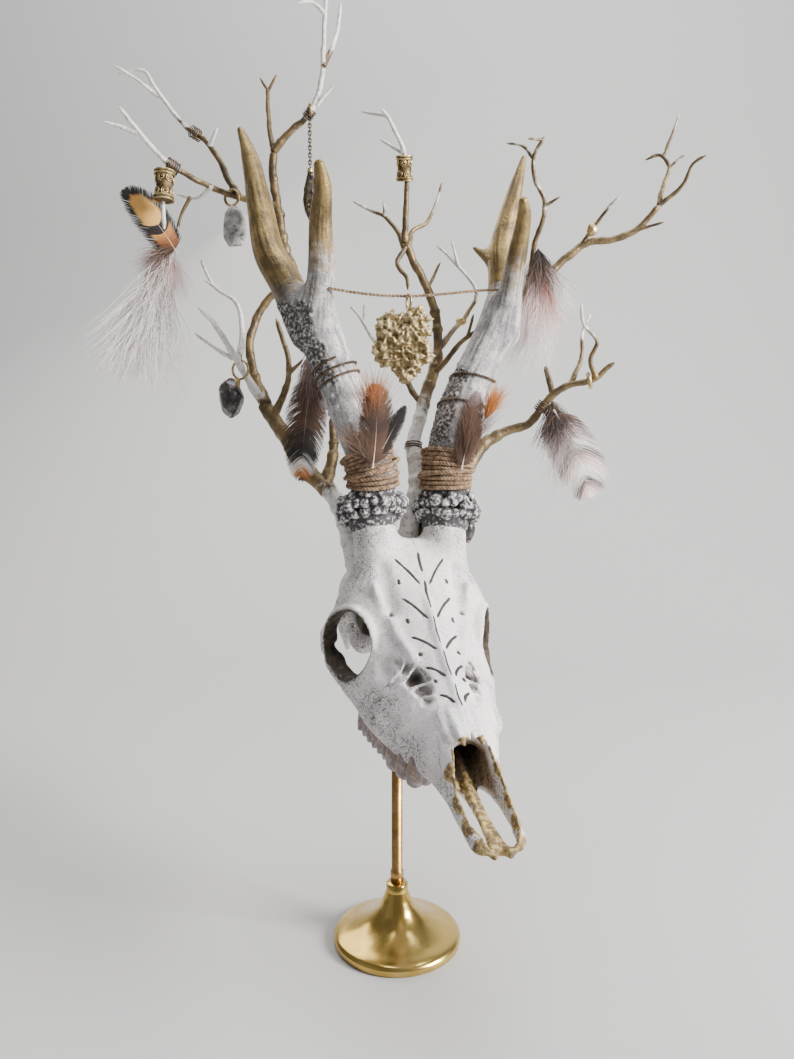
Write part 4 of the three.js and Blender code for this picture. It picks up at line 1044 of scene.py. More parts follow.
BRANCH_ROOTS = {"right": (20, 178, 60), "tall": (8, 172, 74), "middle": (-1, 166, 80),
                "left": (-8, 173, 74), "left_low": (-19, 176, 62)}
BRANCHES = {
    "branch_right_stem": (0.2, [
        (["right", [-25, 36, 207], [-35, 42, 230], [-51, 48, 245], [-62, 50, 263], [-75, 52, 282]], 6.2, 4),
        ([[-40, 44, 234], [-35, 50, 255], [-36, 53, 274]], 4, 2.6)]),
    "branch_right_outer": (1.0, [
        ([[-75, 52, 282], [-85, 48, 299], [-97, 40, 321], [-106, 36, 331]], 3.2, 1.3),
        ([[-90, 46, 305], [-100, 48, 311], [-111, 50, 319]], 2, 0.9),
        ([[-87, 47, 302], [-86, 54, 321], [-89, 58, 336], [-103, 63, 347], [-111, 66, 362]], 2.3, 0.9),
        ([[-100, 62, 345], [-108, 61, 350]], 1.4, 0.8)]),
    "branch_right_rear": (0.1, [
        ([[-73, 52, 280], [-81, 58, 300], [-83, 62, 318], [-74, 64, 338], [-60, 62, 350]], 3.4, 2.4)]),
    "branch_right_inner": (0.2, [
        ([[-69, 50, 272], [-61, 48, 289], [-59, 46, 298], [-62, 44, 315], [-65, 42, 326]], 2.8, 1.3),
        ([[-59, 46, 297], [-51, 43, 304]], 1.6, 0.9)]),
    "branch_tall_stem": (0.0, [
        (["tall", [-6, 42, 222], [-18, 50, 252], [-36, 58, 298], [-53, 63, 340], [-62, 65, 365],
          [-67, 66, 390], [-70, 68, 412], [-69, 68, 422]], 5, 2.6),
        ([[-69, 68, 418], [-73, 74, 446], [-73, 77, 460]], 2, 1.2),
        ([[-73, 77, 458], [-78, 79, 466]], 1.1, 0.8),
        ([[-73, 77, 458], [-68, 76, 466]], 1.1, 0.8)]),
    "branch_tall_top": (0.9, [
        ([[-69, 68, 422], [-59, 66, 432], [-49, 63, 439], [-43, 60, 449], [-40, 57, 463], [-39, 53, 480],
          [-37, 48, 500]], 2.6, 1.2),
        ([[-40, 57, 462], [-34, 62, 478], [-31, 67, 500]], 2, 1),
        ([[-44, 61, 444], [-34, 58, 453]], 1.5, 0.8),
        ([[-39, 51, 486], [-45, 48, 490], [-52, 45, 488]], 1.3, 0.8)]),
    "branch_high_right": (0.5, [
        ([[-68, 66, 391], [-83, 62, 394], [-102, 53, 398], [-122, 41, 407], [-134, 32, 419],
          [-141, 26, 428]], 2.9, 1.1),
        ([[-134, 32, 418], [-150, 28, 422]], 1.5, 0.9),
        ([[-101, 53, 397], [-110, 57, 393], [-122, 60, 396]], 1.6, 0.9),
        ([[-114, 58, 394], [-120, 58, 382], [-121, 55, 366]], 1.3, 0.8),
        ([[-121, 42, 405], [-123, 40, 394], [-124, 41, 372]], 1.8, 1.2)]),
    "branch_high_right_upper": (0.8, [
        ([[-88, 60, 395], [-93, 62, 404], [-105, 66, 425], [-119, 68, 436], [-137, 72, 460],
          [-142, 73, 467], [-157, 75, 466]], 2.6, 0.9),
        ([[-133, 71, 452], [-143, 68, 459], [-156, 65, 466]], 1.5, 0.8),
        ([[-104, 66, 424], [-99, 62, 432]], 1.5, 1)]),
    "branch_middle_stem": (0.05, [
        (["middle", [11, 39, 234], [9, 46, 257], [15, 53, 281], [23, 62, 311], [20, 66, 339],
          [8, 64, 364], [4, 62, 371]], 5.6, 2.3),
        ([[19, 58, 297], [26, 56, 303], [33, 54, 312], [44, 50, 321]], 2.6, 1.4),
        ([[39, 51, 317], [42, 49, 329]], 1.3, 0.8),
        ([[17, 66, 347], [25, 72, 362]], 1.4, 0.8)]),
    "branch_middle_top": (0.7, [
        ([[4, 62, 371], [5, 58, 389], [4, 50, 413], [-2, 44, 426], [-8, 40, 433]], 2.4, 1),
        ([[-6, 42, 430], [-19, 46, 434]], 1.1, 0.8),
        ([[3, 49, 414], [-9, 54, 423]], 1.1, 0.8)]),
    "branch_middle_right": (0.35, [
        ([[4, 62, 367], [1, 65, 376], [-7, 70, 387], [-15, 73, 391], [-25, 76, 397]], 2, 0.9),
        ([[-7, 70, 387], [-8, 72, 396]], 1.2, 0.8)]),
    "branch_middle_left": (0.35, [
        ([[6, 63, 367], [9, 67, 378], [17, 71, 384], [21, 74, 393], [26, 78, 408]], 2, 0.9)]),
    "branch_middle_front": (0.1, [([[5, 62, 368], [0, 58, 358], [5, 55, 350], [6, 53, 343]], 1.8, 1.1)]),
    "branch_middle_rear": (0.75, [
        ([[23, 62, 312], [32, 68, 323], [41, 75, 334], [46, 80, 348], [34, 86, 365],
          [24, 90, 376]], 2.2, 0.9),
        ([[36, 85, 363], [32, 88, 379]], 1.1, 0.8)]),
    "branch_middle_low": (0.75, [
        ([[14, 53, 280], [2, 64, 300], [-13, 72, 318], [-21, 76, 331], [-27, 79, 339]], 2.2, 0.9),
        ([[-19, 75, 327], [-19, 77, 340]], 1.1, 0.8)]),
    "branch_left_low": (0.1, [
        (["left_low", [34, 42, 236], [47, 49, 257], [59, 51, 265], [73, 50, 270], [84, 46, 284],
          [94, 43, 290], [106, 40, 293], [116, 36, 302]], 5, 1.6),
        ([[86, 45, 285], [82, 50, 301]], 2.2, 1.6)]),
    "branch_left_low_rear": (0.4, [
        ([[94, 43, 290], [101, 49, 304], [103, 54, 320], [108, 58, 331]], 1.9, 0.9)]),
    "branch_left_low_front": (0.4, [
        ([[107, 39, 294], [103, 36, 303], [106, 33, 312], [98, 30, 321], [96, 28, 331]], 1.9, 0.9)]),
    "branch_left_stem": (0.05, [
        (["left", [20, 45, 235], [33, 54, 264], [50, 64, 298], [70, 69, 332], [90, 72, 358],
          [107, 71, 372], [122, 69, 374], [135, 66, 379], [146, 62, 391]], 5, 1.8),
        ([[133, 66, 378], [148, 60, 381]], 1.4, 0.8)]),
    "branch_left_tip_upper": (0.3, [
        ([[146, 62, 391], [149, 66, 402], [153, 70, 414], [149, 72, 421], [141, 74, 419]], 1.8, 0.9),
        ([[150, 72, 420], [157, 76, 435], [161, 78, 447]], 1.3, 0.7),
        ([[153, 70, 413], [161, 68, 420]], 1.2, 0.8)]),
    "branch_left_tip_lower": (0.2, [
        ([[146, 62, 391], [156, 57, 399], [160, 52, 409], [166, 49, 413]], 1.7, 0.8)]),
    "branch_left_twig": (0.4, [([[105, 71, 371], [110, 67, 379], [118, 60, 390], [123, 56, 394]], 1.5, 0.9)]),
    "branch_left_inner": (0.3, [
        ([[68, 69, 329], [75, 64, 353], [77, 60, 371], [81, 53, 388], [74, 48, 400], [73, 45, 410],
          [78, 42, 420]], 2.3, 1.1),
        ([[73, 45, 409], [68, 48, 417], [59, 52, 420]], 1.2, 0.8),
        ([[80, 53, 387], [88, 48, 391]], 1.2, 0.8),
        ([[77, 42, 418], [69, 40, 418]], 1, 0.8)]),
}
BRANCH_GROUPS = {
    "branches_right": ("branch_right",), "branches_high": ("branch_tall", "branch_high"),
    "branches_middle": ("branch_middle",), "branches_left": ("branch_left",)}
LIMB_SPACING = 1.2
THIN_LIMB = 3.2
LIMB_SLIMNESS = 0.86
BUD_SPACING = 11.0
LIMB_SIDES = 12
BARK_ROUGHNESS = 0.5
BARK_LUMP = 3.0
# Roots of the stems that are white at the foot
PALE_FEET = ("right", "middle")


def rooted(points):
    """A limb's points, with a root's name turned into its place."""
    return [from_skull(BRANCH_ROOTS[p]) if isinstance(p, str) else p for p in points]


def limb_line(points, thick, thin, seed):
    """Points and radii of one limb, with the swellings of old buds and a blunt end."""
    path, share = smooth_path(rooted(points), LIMB_SPACING)
    steps = (thick, 0.45 * thick + 0.55 * thin, 0.2 * thick + 0.8 * thin, thin)
    radii = np.interp(share, (0, 1 / 3, 2 / 3, 1), steps)
    rng = np.random.default_rng(seed)
    run = np.arange(len(path)) * LIMB_SPACING
    for spot in np.arange(rng.uniform(4, 10), run[-1], BUD_SPACING):
        radii = radii * (1 + 0.12 * np.exp(-((run - spot - rng.normal(0, 2)) / 1.6) ** 2))
    sway = np.stack([grain(path, 9.0, seed + k, 2) - 0.5 for k in range(3)], axis=1)
    path = path + sway * np.minimum(radii, 1.6)[:, None]
    radii = radii * np.where(radii < THIN_LIMB, LIMB_SLIMNESS, 1.0)
    radii = radii * np.sqrt(np.clip((len(path) - 1 - np.arange(len(path))) / 2.5 + 0.12, 0, 1))
    return path, radii


def branch_mesh(name, starts, material):
    """All branches of one group, with how pale each place is."""
    lines, pale = [], []
    for number, (node, (paint, limbs)) in enumerate(BRANCHES.items()):
        if node.startswith(starts):
            for k, (points, thick, thin) in enumerate(limbs):
                path, radii = limb_line(points, thick, thin, 100 * number + k)
                lines.append((path, radii))
                reach = np.linspace(0, 1, len(path)) if len(path) > 24 else np.ones(len(path))
                early = 2 * max(paint - 0.8, 0)
                pale.append(paint * (0.1 + 1.15 * ramp(reach + early, 0.25, 0.8)))
                if points[0] in PALE_FEET:
                    pale[-1] = np.maximum(pale[-1], 1 - ramp(reach, 0.3, 0.6))
    mesh = rods(name, lines, material, LIMB_SIDES, BARK_ROUGHNESS, BARK_LUMP, seed=len(name))
    spots = np.zeros(3 * len(mesh.vertices))
    mesh.vertices.foreach_get("co", spots)
    spots = spots.reshape(-1, 3) / MM
    near, shade = np.concatenate([path for path, _ in lines]), np.concatenate(pale)
    closest = np.array([np.argmin(((near - p) ** 2).sum(axis=1)) for p in spots])
    attach(mesh, pale=shade[closest])
    return mesh


# Twine, string and wire

BINDING_FOOT = 17.0
BINDING_HEIGHT = 19.5
BINDING_RADIUS = 12.6
TWINE_TURNS = 9
PLY_RADIUS = 0.6
PLY_SPREAD = 1.1
JUTE_PITCH = 5.0
FUZZ_REACH = 3.2
FUZZ_COUNT = 420
BINDING_SEED = 80
STRING_ROUTE = [
    (-34, 9, 335), (-27.5, 10.6, 334.2), (-21, 12.3, 333.5), (-14, 14, 333), (-7, 15.8, 332.7),
    (-0.5, 17.4, 332.8), (6, 19, 333), (12, 20.6, 333.5), (18, 22.3, 334.2), (24, 24, 335),
    (31, 26.1, 336.1), (37.5, 28.1, 337.1), (44, 30, 338), (50.5, 31.6, 338.6), (57, 33, 339)]
STRING_PLY_RADIUS = 0.43
STRING_PITCH = 4.0


def plied(path, ply_radius, count, pitch):
    """Strands twisted round a path."""
    _, one, two = along_and_across(path)
    run = run_along(path)
    lines = []
    for k in range(count):
        turn = (FULL_TURN * (run / pitch + k / count))[:, None]
        out = one * np.cos(turn) + two * np.sin(turn)
        lines.append((path + ply_radius * PLY_SPREAD * out, ply_radius))
    return lines


def fuzz(path, reach, count, seed):
    """Loose fibres that stand off a strand."""
    rng = np.random.default_rng(seed)
    lines = []
    for k in rng.integers(0, len(path), count):
        start = path[k] + rng.normal(0, 0.5, 3)
        out = unit(rng.normal(0, 1, 3)) * reach * rng.uniform(0.4, 1.3)
        curl = rng.normal(0, 1, 3) * reach * 0.4
        t = np.linspace(0, 1, 5)[:, None]
        lines.append((start + out * t + curl * t * t, np.linspace(0.09, 0.03, 5)))
    return lines


def beam_wrap(antler, low, height, radius, turns, wave=0.0):
    """A line wound round an antler's beam. A radius below 0 is how far it stands off the beam."""
    _, _, paths = antler_paths(antler)
    path, beam_radii, _ = paths["beam"]
    _, one, two = along_and_across(path)
    run = run_along(path)
    share = np.linspace(0, 1, int(turns * 96))
    at = low + height * share
    middle, across, level = (rows_at(at, run, part) for part in (path, one, two))
    turn = (FULL_TURN * turns * share)[:, None]
    width = (radius if radius > 0 else np.interp(at, run, beam_radii) - radius)
    width = np.broadcast_to(width, share.shape)[:, None] + wave * np.sin(turn * 0.37 + 1.0)
    return middle + width * (across * np.cos(turn) + level * np.sin(turn))


def binding_lines(antler, seed):
    """Turns of jute round a beam, with a slanting wrap over them and fuzz."""
    path = beam_wrap(antler, BINDING_FOOT, BINDING_HEIGHT, BINDING_RADIUS, TWINE_TURNS, 0.35)
    slant = beam_wrap(antler, BINDING_FOOT + 2, BINDING_HEIGHT - 4, BINDING_RADIUS + 1.5, 1.35)
    lines = plied(path, PLY_RADIUS, 3, JUTE_PITCH) + plied(slant, PLY_RADIUS, 3, JUTE_PITCH)
    return lines + fuzz(path, FUZZ_REACH, FUZZ_COUNT, seed)


def loop_round(path, index, radius, turns, spread, seed):
    """A wire wound a few turns round a branch."""
    along, one, two = along_and_across(path)
    share = np.linspace(0, 1, int(turns * 22))
    turn = (FULL_TURN * turns * share)[:, None]
    middle = path[index] + along[index] * (spread * (share[:, None] - 0.5))
    ripple = grain(np.stack([share * 20, share * 0, share * 0], axis=1), 1.0, seed)[:, None]
    wobble = 1 + 0.12 * (ripple - 0.5)
    return middle + radius * wobble * (one[index] * np.cos(turn) + two[index] * np.sin(turn))


# Wire wraps: branch, share of its first limb, radius, turns and spread
WIRE_WRAPS = [
    ("branch_high_right", 0.62, 3.0, 6, 7.0), ("branch_high_right_upper", 0.42, 3.0, 5, 6.0),
    ("branch_tall_top", 0.3, 2.7, 5, 5.0), ("branch_middle_stem", 0.32, 4.6, 3, 4.0),
    ("branch_left_low", 0.72, 3.4, 5, 6.0), ("branch_right_stem", 0.7, 4.8, 3, 4.0),
    ("branch_left_stem", 0.7, 2.9, 4, 5.0), ("branch_tall_stem", 0.66, 4.0, 4, 5.0)]
WIRE_RADIUS = 0.38
# Thin strings round the beams: side, height of the foot, rise and turns
BEAM_STRINGS = [("right", 72, 12, 2.6), ("left", 54, 30, 2.0)]
BEAM_STRING_GAP = 0.7
BEAM_STRING_PLY = 0.4
BEAM_STRING_PITCH = 3.0


def wire_lines():
    """Dark wire wraps on the branches, and thin strings round the antlers."""
    lines = []
    for number, (node, share, radius, turns, spread) in enumerate(WIRE_WRAPS):
        points, _, _ = BRANCHES[node][1][0]
        path, _ = smooth_path(rooted(points), LIMB_SPACING)
        lines.append((loop_round(path, int(share * len(path)), radius, turns, spread, number), WIRE_RADIUS))
    for side, low, height, turns in BEAM_STRINGS:
        path = beam_wrap(ANTLERS[side], low, height, -BEAM_STRING_GAP, turns)
        lines += plied(path, BEAM_STRING_PLY, 2, BEAM_STRING_PITCH)
    return lines


# Small solids

def axis_frame(axis):
    """Two directions across an axis."""
    one = unit(np.cross(axis, (0.13, 0.95, 0.21)))
    return one, np.cross(axis, one)


def lathe(outline, centre, axis, sides):
    """Points and faces of a turned solid from radius and height pairs that start and end on the axis."""
    centre, axis = np.array(centre, float), unit(axis)
    one, two = axis_frame(axis)
    turn = np.linspace(0, FULL_TURN, sides, endpoint=False)
    spokes = np.cos(turn)[:, None] * one + np.sin(turn)[:, None] * two
    rings = [centre + axis * height + spokes * max(radius, 0.01) for radius, height in outline]
    return tubes(np.stack(rings)[None])


CHUNK_ROWS = 30
CHUNK_AROUND = 50


def chunk(centre, radii, seed, cuts):
    """A lump of stone with flat worn faces."""
    rng = np.random.default_rng(seed)
    normals = unit(rng.normal(0, 1, (cuts, 3)))
    reach = rng.uniform(0.78, 1.0, cuts)
    tilt = np.linspace(0.02, math.pi - 0.02, CHUNK_ROWS)[:, None]
    turn = np.linspace(0, FULL_TURN, CHUNK_AROUND, endpoint=False)[None]
    ball_points = np.stack([np.sin(tilt) * np.cos(turn), np.sin(tilt) * np.sin(turn),
                            -np.cos(tilt) + 0 * turn], axis=-1)
    facing = np.maximum(ball_points @ normals.T, 1e-3)
    size = np.minimum((reach / facing).min(axis=-1), 1.08)
    shape = ball_points * size[..., None] * np.array(radii) + np.array(centre, float)
    return tubes(shape[None])


def ring_line(centre, axis, radius, count=28):
    """A closed ring, as a line that overlaps its own start."""
    axis = unit(axis)
    one = unit(np.cross(axis, (0.3, 0.2, 0.93)))
    turn = np.linspace(0, FULL_TURN * (1 + 1 / count), count + 2)[:, None]
    return np.array(centre, float) + radius * (one * np.cos(turn) + np.cross(axis, one) * np.sin(turn))


def scrolls(centre, axis, radius, height, count):
    """Small spirals that wrap round a tube bead."""
    centre, axis = np.array(centre, float), unit(axis)
    one, two = axis_frame(axis)
    turn = np.linspace(0, FULL_TURN * 1.8, 26)
    size = np.linspace(0.25, 1.0, 26) * math.pi * radius / count * 0.92
    lines = []
    for row in (-0.22, 0.22):
        for k in range(count):
            angle = FULL_TURN * (k + (row > 0) * 0.5) / count + size * np.cos(turn) / radius
            rise = row * height + size * np.sin(turn)
            out = one * np.cos(angle)[:, None] + two * np.sin(angle)[:, None]
            lines.append((centre + axis * rise[:, None] + radius * out, SCROLL_RADIUS))
    return lines


# Tube beads: centre, axis, radius and height
TUBE_BEADS = {"bead_right": ((-123, 40, 394), (0.5, 0.5, 11), 5.4, 16),
              "bead_middle": ((4, 52, 407), (-0.5, -8, 24), 4.6, 13)}
SCROLL_RADIUS = 0.34
SCROLLS_AROUND = 6
BEAD_RINGS = (-0.46, -0.36, 0.36, 0.46)
BEAD_RING_RADIUS = 0.5


def bead_outline(radius, height):
    """A tube bead with a lip at each end."""
    half, lip = height / 2, height / 9
    return [(0, -half), (radius * 0.7, -half), (radius, -half + lip * 0.4), (radius, -half + lip),
            (radius * 0.84, -half + lip * 1.5), (radius * 0.8, 0), (radius * 0.84, half - lip * 1.5),
            (radius, half - lip), (radius, half - lip * 0.4), (radius * 0.7, half), (0, half)]


SMALL_BEADS = [("bead_small", (37, 72, 329), (3.4, 3, 2.8)), ("bead_oval", (110, 67, 379), (3.4, 3.2, 4.4))]
SMALL_BEAD_CUTS = 60
LOOP_BEAD = ((104, 40, 292.5), (12, -3, 3), 3.6)
LOOP_BEAD_THICKNESS = 1.2
# Stones: centre, radii, seed and number of worn faces
CRYSTAL = ((-90, 57, 377), (6.6, 5, 11), 7, 15)
DARK_STONE = ((-91, 45, 283), (6.8, 6, 10.5), 11, 26)
BURR_BEAD = ((38, 33, 212), (4, 4, 7), 5, 22)
DROP_PLACE = (-48, 61, 440)
DROP_FACETS = 9
UPRIGHT = (0, 0, 1)
ROUND = 40
DROP_OUTLINE = [(0, -58), (1.2, -57.4), (3.4, -53), (4.7, -47), (4.2, -42), (2.6, -36), (1.5, -32),
                (1.6, -30), (0, -29)]
# Fittings: rings as centre, axis, radius and thickness, and caps and pins as points and radii
FITTING_RINGS = [
    ((-91, 58, 393.4), (0.3, 1, 0), 4.2, 0.8), ((-86, 47.6, 299), (0.4, 1, 0), 5, 0.7),
    ((6, 19, 330.2), (1, 0.25, 0), 4.2, 0.7), ((-48, 61.5, 441.4), (1, 0.3, 0), 3.4, 0.6)]
FITTING_PINS = [
    ([(-91, 58, 389.6), (-90.6, 57.6, 387), (-90.2, 57.2, 384)], [1.2, 2.6, 3.4]),
    ([(-87, 47, 294.6), (-88, 46.5, 292), (-89.4, 45.8, 289.6)], [1.2, 2.4, 3.4]),
    ([(6, 19, 326), (5.4, 18.7, 321), (4.6, 18.3, 316)], [0.8, 0.8, 0.8]),
    ([(38, 33, 217), (39, 32.6, 230), (40, 32, 241)], [0.5, 0.4, 0.5]),
    ([(-48, 61, 409.5), (-48, 61, 408)], [1.8, 1.8])]
CHAIN_TOP = 438.5
CHAIN_END = 409.5
LINK_STEP = 1.95
LINK_HALF_WIDTH = 0.85
LINK_HALF_HEIGHT = 1.45
LINK_RADIUS = 0.34


def fitting_lines():
    """Rings, caps and pins that hold the charms."""
    return [(ring_line(*ring), thickness) for *ring, thickness in FITTING_RINGS] + FITTING_PINS


def chain_lines():
    """Oval links that stand across each other, down to the black drop."""
    lines = []
    turn = np.linspace(0, FULL_TURN * 1.05, 22)
    for k, height in enumerate(np.arange(CHAIN_TOP, CHAIN_END, -LINK_STEP)):
        across = np.array((1, 0, 0) if k % 2 else (0, 1, 0))
        wide = np.cos(turn)[:, None] * across * LINK_HALF_WIDTH
        oval = wide + np.sin(turn)[:, None] * np.array((0, 0, LINK_HALF_HEIGHT))
        lines.append((np.array((*DROP_PLACE[:2], height)) + oval, LINK_RADIUS))
    return lines


PENDANT_STEP = 0.5
PENDANT_LOBES = [
    ((-4, 18, 318), (6, 2.6, 7)), ((11, 18, 319), (6, 2.6, 8)), ((4, 18, 298), (7, 2.4, 7)),
    ((-5, 18, 305), (6, 2.4, 7)), ((12, 18, 306), (6, 2.4, 7))]


def pendant_mesh():
    """A leaf-shaped lump crusted with curling ridges."""
    clay = Clay((-14, 10, 288), (22, 26, 334), PENDANT_STEP)
    clay.add(ball((4, 18, 309), (11, 2.6, 16)))
    for centre, radii in PENDANT_LOBES:
        clay.add(ball(centre, radii), 1.5)
    clay.carve(ball((4, 18, 327), (3, 8, 5)), 1.0)
    points, quads = clay.skin()
    normals = point_normals(points, quads)
    worm = 1 - np.abs(2 * grain(points, 4.2, 91, 2) - 1)
    fine = 1 - np.abs(2 * grain(points, 1.9, 95, 2) - 1)
    points = points + normals * (2.6 * ramp(worm, 0.62, 0.98) + 1.2 * ramp(fine, 0.6, 0.98) - 1.2)[:, None]
    return new_mesh("pendant_leaf", points, quads)


# Feathers

PINK, WHITE, CREAM = (0.80, 0.58, 0.55), (0.90, 0.85, 0.82), (0.80, 0.66, 0.50)
BROWN, RUST, ORANGE = (0.135, 0.07, 0.042), (0.34, 0.115, 0.035), (0.62, 0.23, 0.05)
BLACK, LILAC, PEACH = (0.018, 0.015, 0.014), (0.42, 0.33, 0.33), (0.62, 0.40, 0.28)
GOLDEN, DUSK, BLUSH = (0.72, 0.41, 0.11), (0.05, 0.03, 0.023), (0.48, 0.15, 0.12)
FRONT = (0, -1, 0)
SHAFT_POINTS = 24
BARB_POINTS = 7
BARB_WIDTH = 0.55
FILAMENT_POINTS = 9
# Start and width of the strips of the unwrap that vanes and down lie in, and the half size of one barb in it
VANE_STRIP = (0.05, 0.45)
DOWN_STRIP = (0.55, 0.4)
UNWRAP_HALF = 0.0015


class Plumage:
    """Barbs gathered for one feather, each a thin closed strip with its own place on the unwrap."""

    def __init__(self, seed):
        self.rng = np.random.default_rng(seed)
        self.rings, self.tints, self.roots = [], [], []

    def grow(self, paths, width, flat, tints, roots):
        """Add barbs: paths as barb, point, coordinate. Width tapers to the tips, and flat faces outward."""
        along = unit(np.gradient(paths, axis=1))
        aside = unit(np.cross(along, flat))
        up = np.cross(aside, along)
        taper = np.linspace(1, 0.15, paths.shape[1])[None, :, None] * np.reshape(width, (-1, 1, 1)) / 2
        ring = np.stack([paths - aside * taper, paths + up * taper * 0.6, paths + aside * taper], axis=2)
        self.rings.append(ring)
        self.tints.append(np.repeat(tints[:, :, None, :], 3, axis=2))
        self.roots.append(roots)

    def mesh(self, name):
        """One mesh with its colours, and its unwrap."""
        parts, tints, spots = [], [], []
        for ring, tint, root in zip(self.rings, self.tints, self.roots):
            parts.append(tubes(ring))
            tints.append(tint.reshape(-1, 3))
            grid = np.meshgrid(np.linspace(-1, 1, ring.shape[1]), (-1, 0, 1), indexing="ij")
            step = np.stack(grid, axis=-1)
            spots.append((root[:, None, None, :] + UNWRAP_HALF * step[None]).reshape(-1, 2))
        points, faces = merged(parts)
        mesh = new_mesh(name, points, faces, smooth=False)
        attach(mesh, tint=np.concatenate(tints))
        corner = np.zeros(len(mesh.loops), np.int32)
        mesh.loops.foreach_get("vertex_index", corner)
        layer = mesh.uv_layers.new(name="OFBake")
        places = np.clip(np.concatenate(spots)[corner], 0, 1)
        layer.data.foreach_set("uv", places.astype(np.float32).ravel())
        return mesh


def blended(colours, shares):
    """Colours along a run of evenly spread ones."""
    colours = np.array(colours, float)
    at = np.clip(shares, 0, 1) * (len(colours) - 1)
    return rows_at(at, np.arange(len(colours)), colours)


def vane(plumage, root, tip, face, half, count, colours, bow=0.0, edge=None, spot=None):
    """A flat feather with a shaft and two rows of close barbs that lean to the tip."""
    rng = plumage.rng
    root, tip, face = np.array(root, float), np.array(tip, float), unit(face)
    length = np.linalg.norm(tip - root)
    axis = (tip - root) / length
    aside = unit(np.cross(axis, face))
    share = np.linspace(0, 1, SHAFT_POINTS)[None, :, None]
    shaft = root + (tip - root) * share + aside * bow * np.sin(share * math.pi)
    plumage.grow(shaft, 1.0, face, blended([CREAM, BROWN], share[..., 0]), np.array([[VANE_STRIP[0], 0.5]]))
    for side in (-1, 1):
        s = np.linspace(0.06, 1.0, count) + rng.normal(0, 0.002, count)
        shape = np.sin(np.clip(0.1 + 0.9 * s, 0, 1) ** 0.75 * math.pi) ** 0.65
        reach = half * np.clip(shape, 0.1, 1) * (1 + rng.normal(0, 0.05, count))
        t = np.linspace(0, 1, BARB_POINTS)[None, :, None]
        start = root + (tip - root) * s[:, None] + aside * (bow * np.sin(s * math.pi))[:, None]
        lean = 0.55 + 0.75 * s + rng.normal(0, 0.05, count)
        out = aside * side * reach[:, None, None] * t ** 0.85
        ahead = axis * (reach * lean)[:, None, None] * t ** 1.4
        cup = -face * (0.18 * reach)[:, None, None] * t ** 2
        paths = start[:, None] + out + ahead + cup + rng.normal(0, 0.12, (count, 1, 3)) * t
        tint = blended(colours, s[:, None] + 0.05 * t[..., 0] + rng.normal(0, 0.03, (count, 1)))
        if edge is not None:
            rim = ramp(t[..., 0] + ramp(s, 0.75, 1.0)[:, None] * 0.8, 0.5, 0.66)[..., None]
            tint = tint * (1 - rim) + np.array(edge) * rim
        if spot is not None:
            dark = ((s > spot[0]) & (s < spot[1]))[:, None, None] * (t < 0.55)
            tint = np.where(dark, np.array(BLACK), tint)
        roots = np.stack([VANE_STRIP[0] + VANE_STRIP[1] * s, np.full(count, 0.5 + side * 0.2)], axis=1)
        plumage.grow(paths, np.full(count, BARB_WIDTH), face, tint, roots)


def down(plumage, root, axis, length, spread, count, colours, droop=0.0, depth=0.35, width=0.2,
         start_spread=4.0):
    """Loose soft filaments that fan out from a root."""
    rng = plumage.rng
    root, axis = np.array(root, float), unit(axis)
    aside = unit(np.cross(axis, FRONT))
    face = np.cross(aside, axis)
    fan = np.clip(rng.normal(0, 0.55, count), -1.25, 1.25) * math.radians(spread)
    lift = rng.normal(0, depth, count)
    heading = axis * np.cos(fan)[:, None] + aside * np.sin(fan)[:, None] + face * lift[:, None]
    size = length * rng.uniform(0.35, 1.0, count) ** 0.7 * np.cos(0.55 * fan)
    t = np.linspace(0, 1, FILAMENT_POINTS)[None, :, None]
    sideways = np.clip(rng.normal(0, 0.16, count), -0.26, 0.26)
    outward = np.clip(rng.normal(0, 0.12, count), -0.2, 0.2)
    curl = (aside * sideways[:, None] + face * outward[:, None])[:, None]
    bends = rng.uniform(1.0, 2.4, count)[:, None, None]
    wave = np.sin(t * math.pi * bends) * rng.normal(0, 0.05, count)[:, None, None]
    sag = np.array([0, 0, -1.0]) * droop
    first = root + axis * (rng.uniform(-0.5, 1, count) * start_spread)[:, None]
    course = heading[:, None] * t + curl * t ** 2 + aside * wave + sag * t ** 2
    paths = first[:, None] + size[:, None, None] * course
    tint = blended(colours, t[..., 0] * rng.uniform(0.75, 1.1, (count, 1)) + rng.normal(0, 0.08, (count, 1)))
    tint = tint * rng.uniform(0.82, 1.12, (count, 1, 1))
    across = 0.5 + 0.4 * fan / math.radians(spread)
    roots = np.stack([DOWN_STRIP[0] + DOWN_STRIP[1] * rng.random(count), across], axis=1)
    plumage.grow(paths, np.full(count, width), face, np.clip(tint, 0, 1), roots)


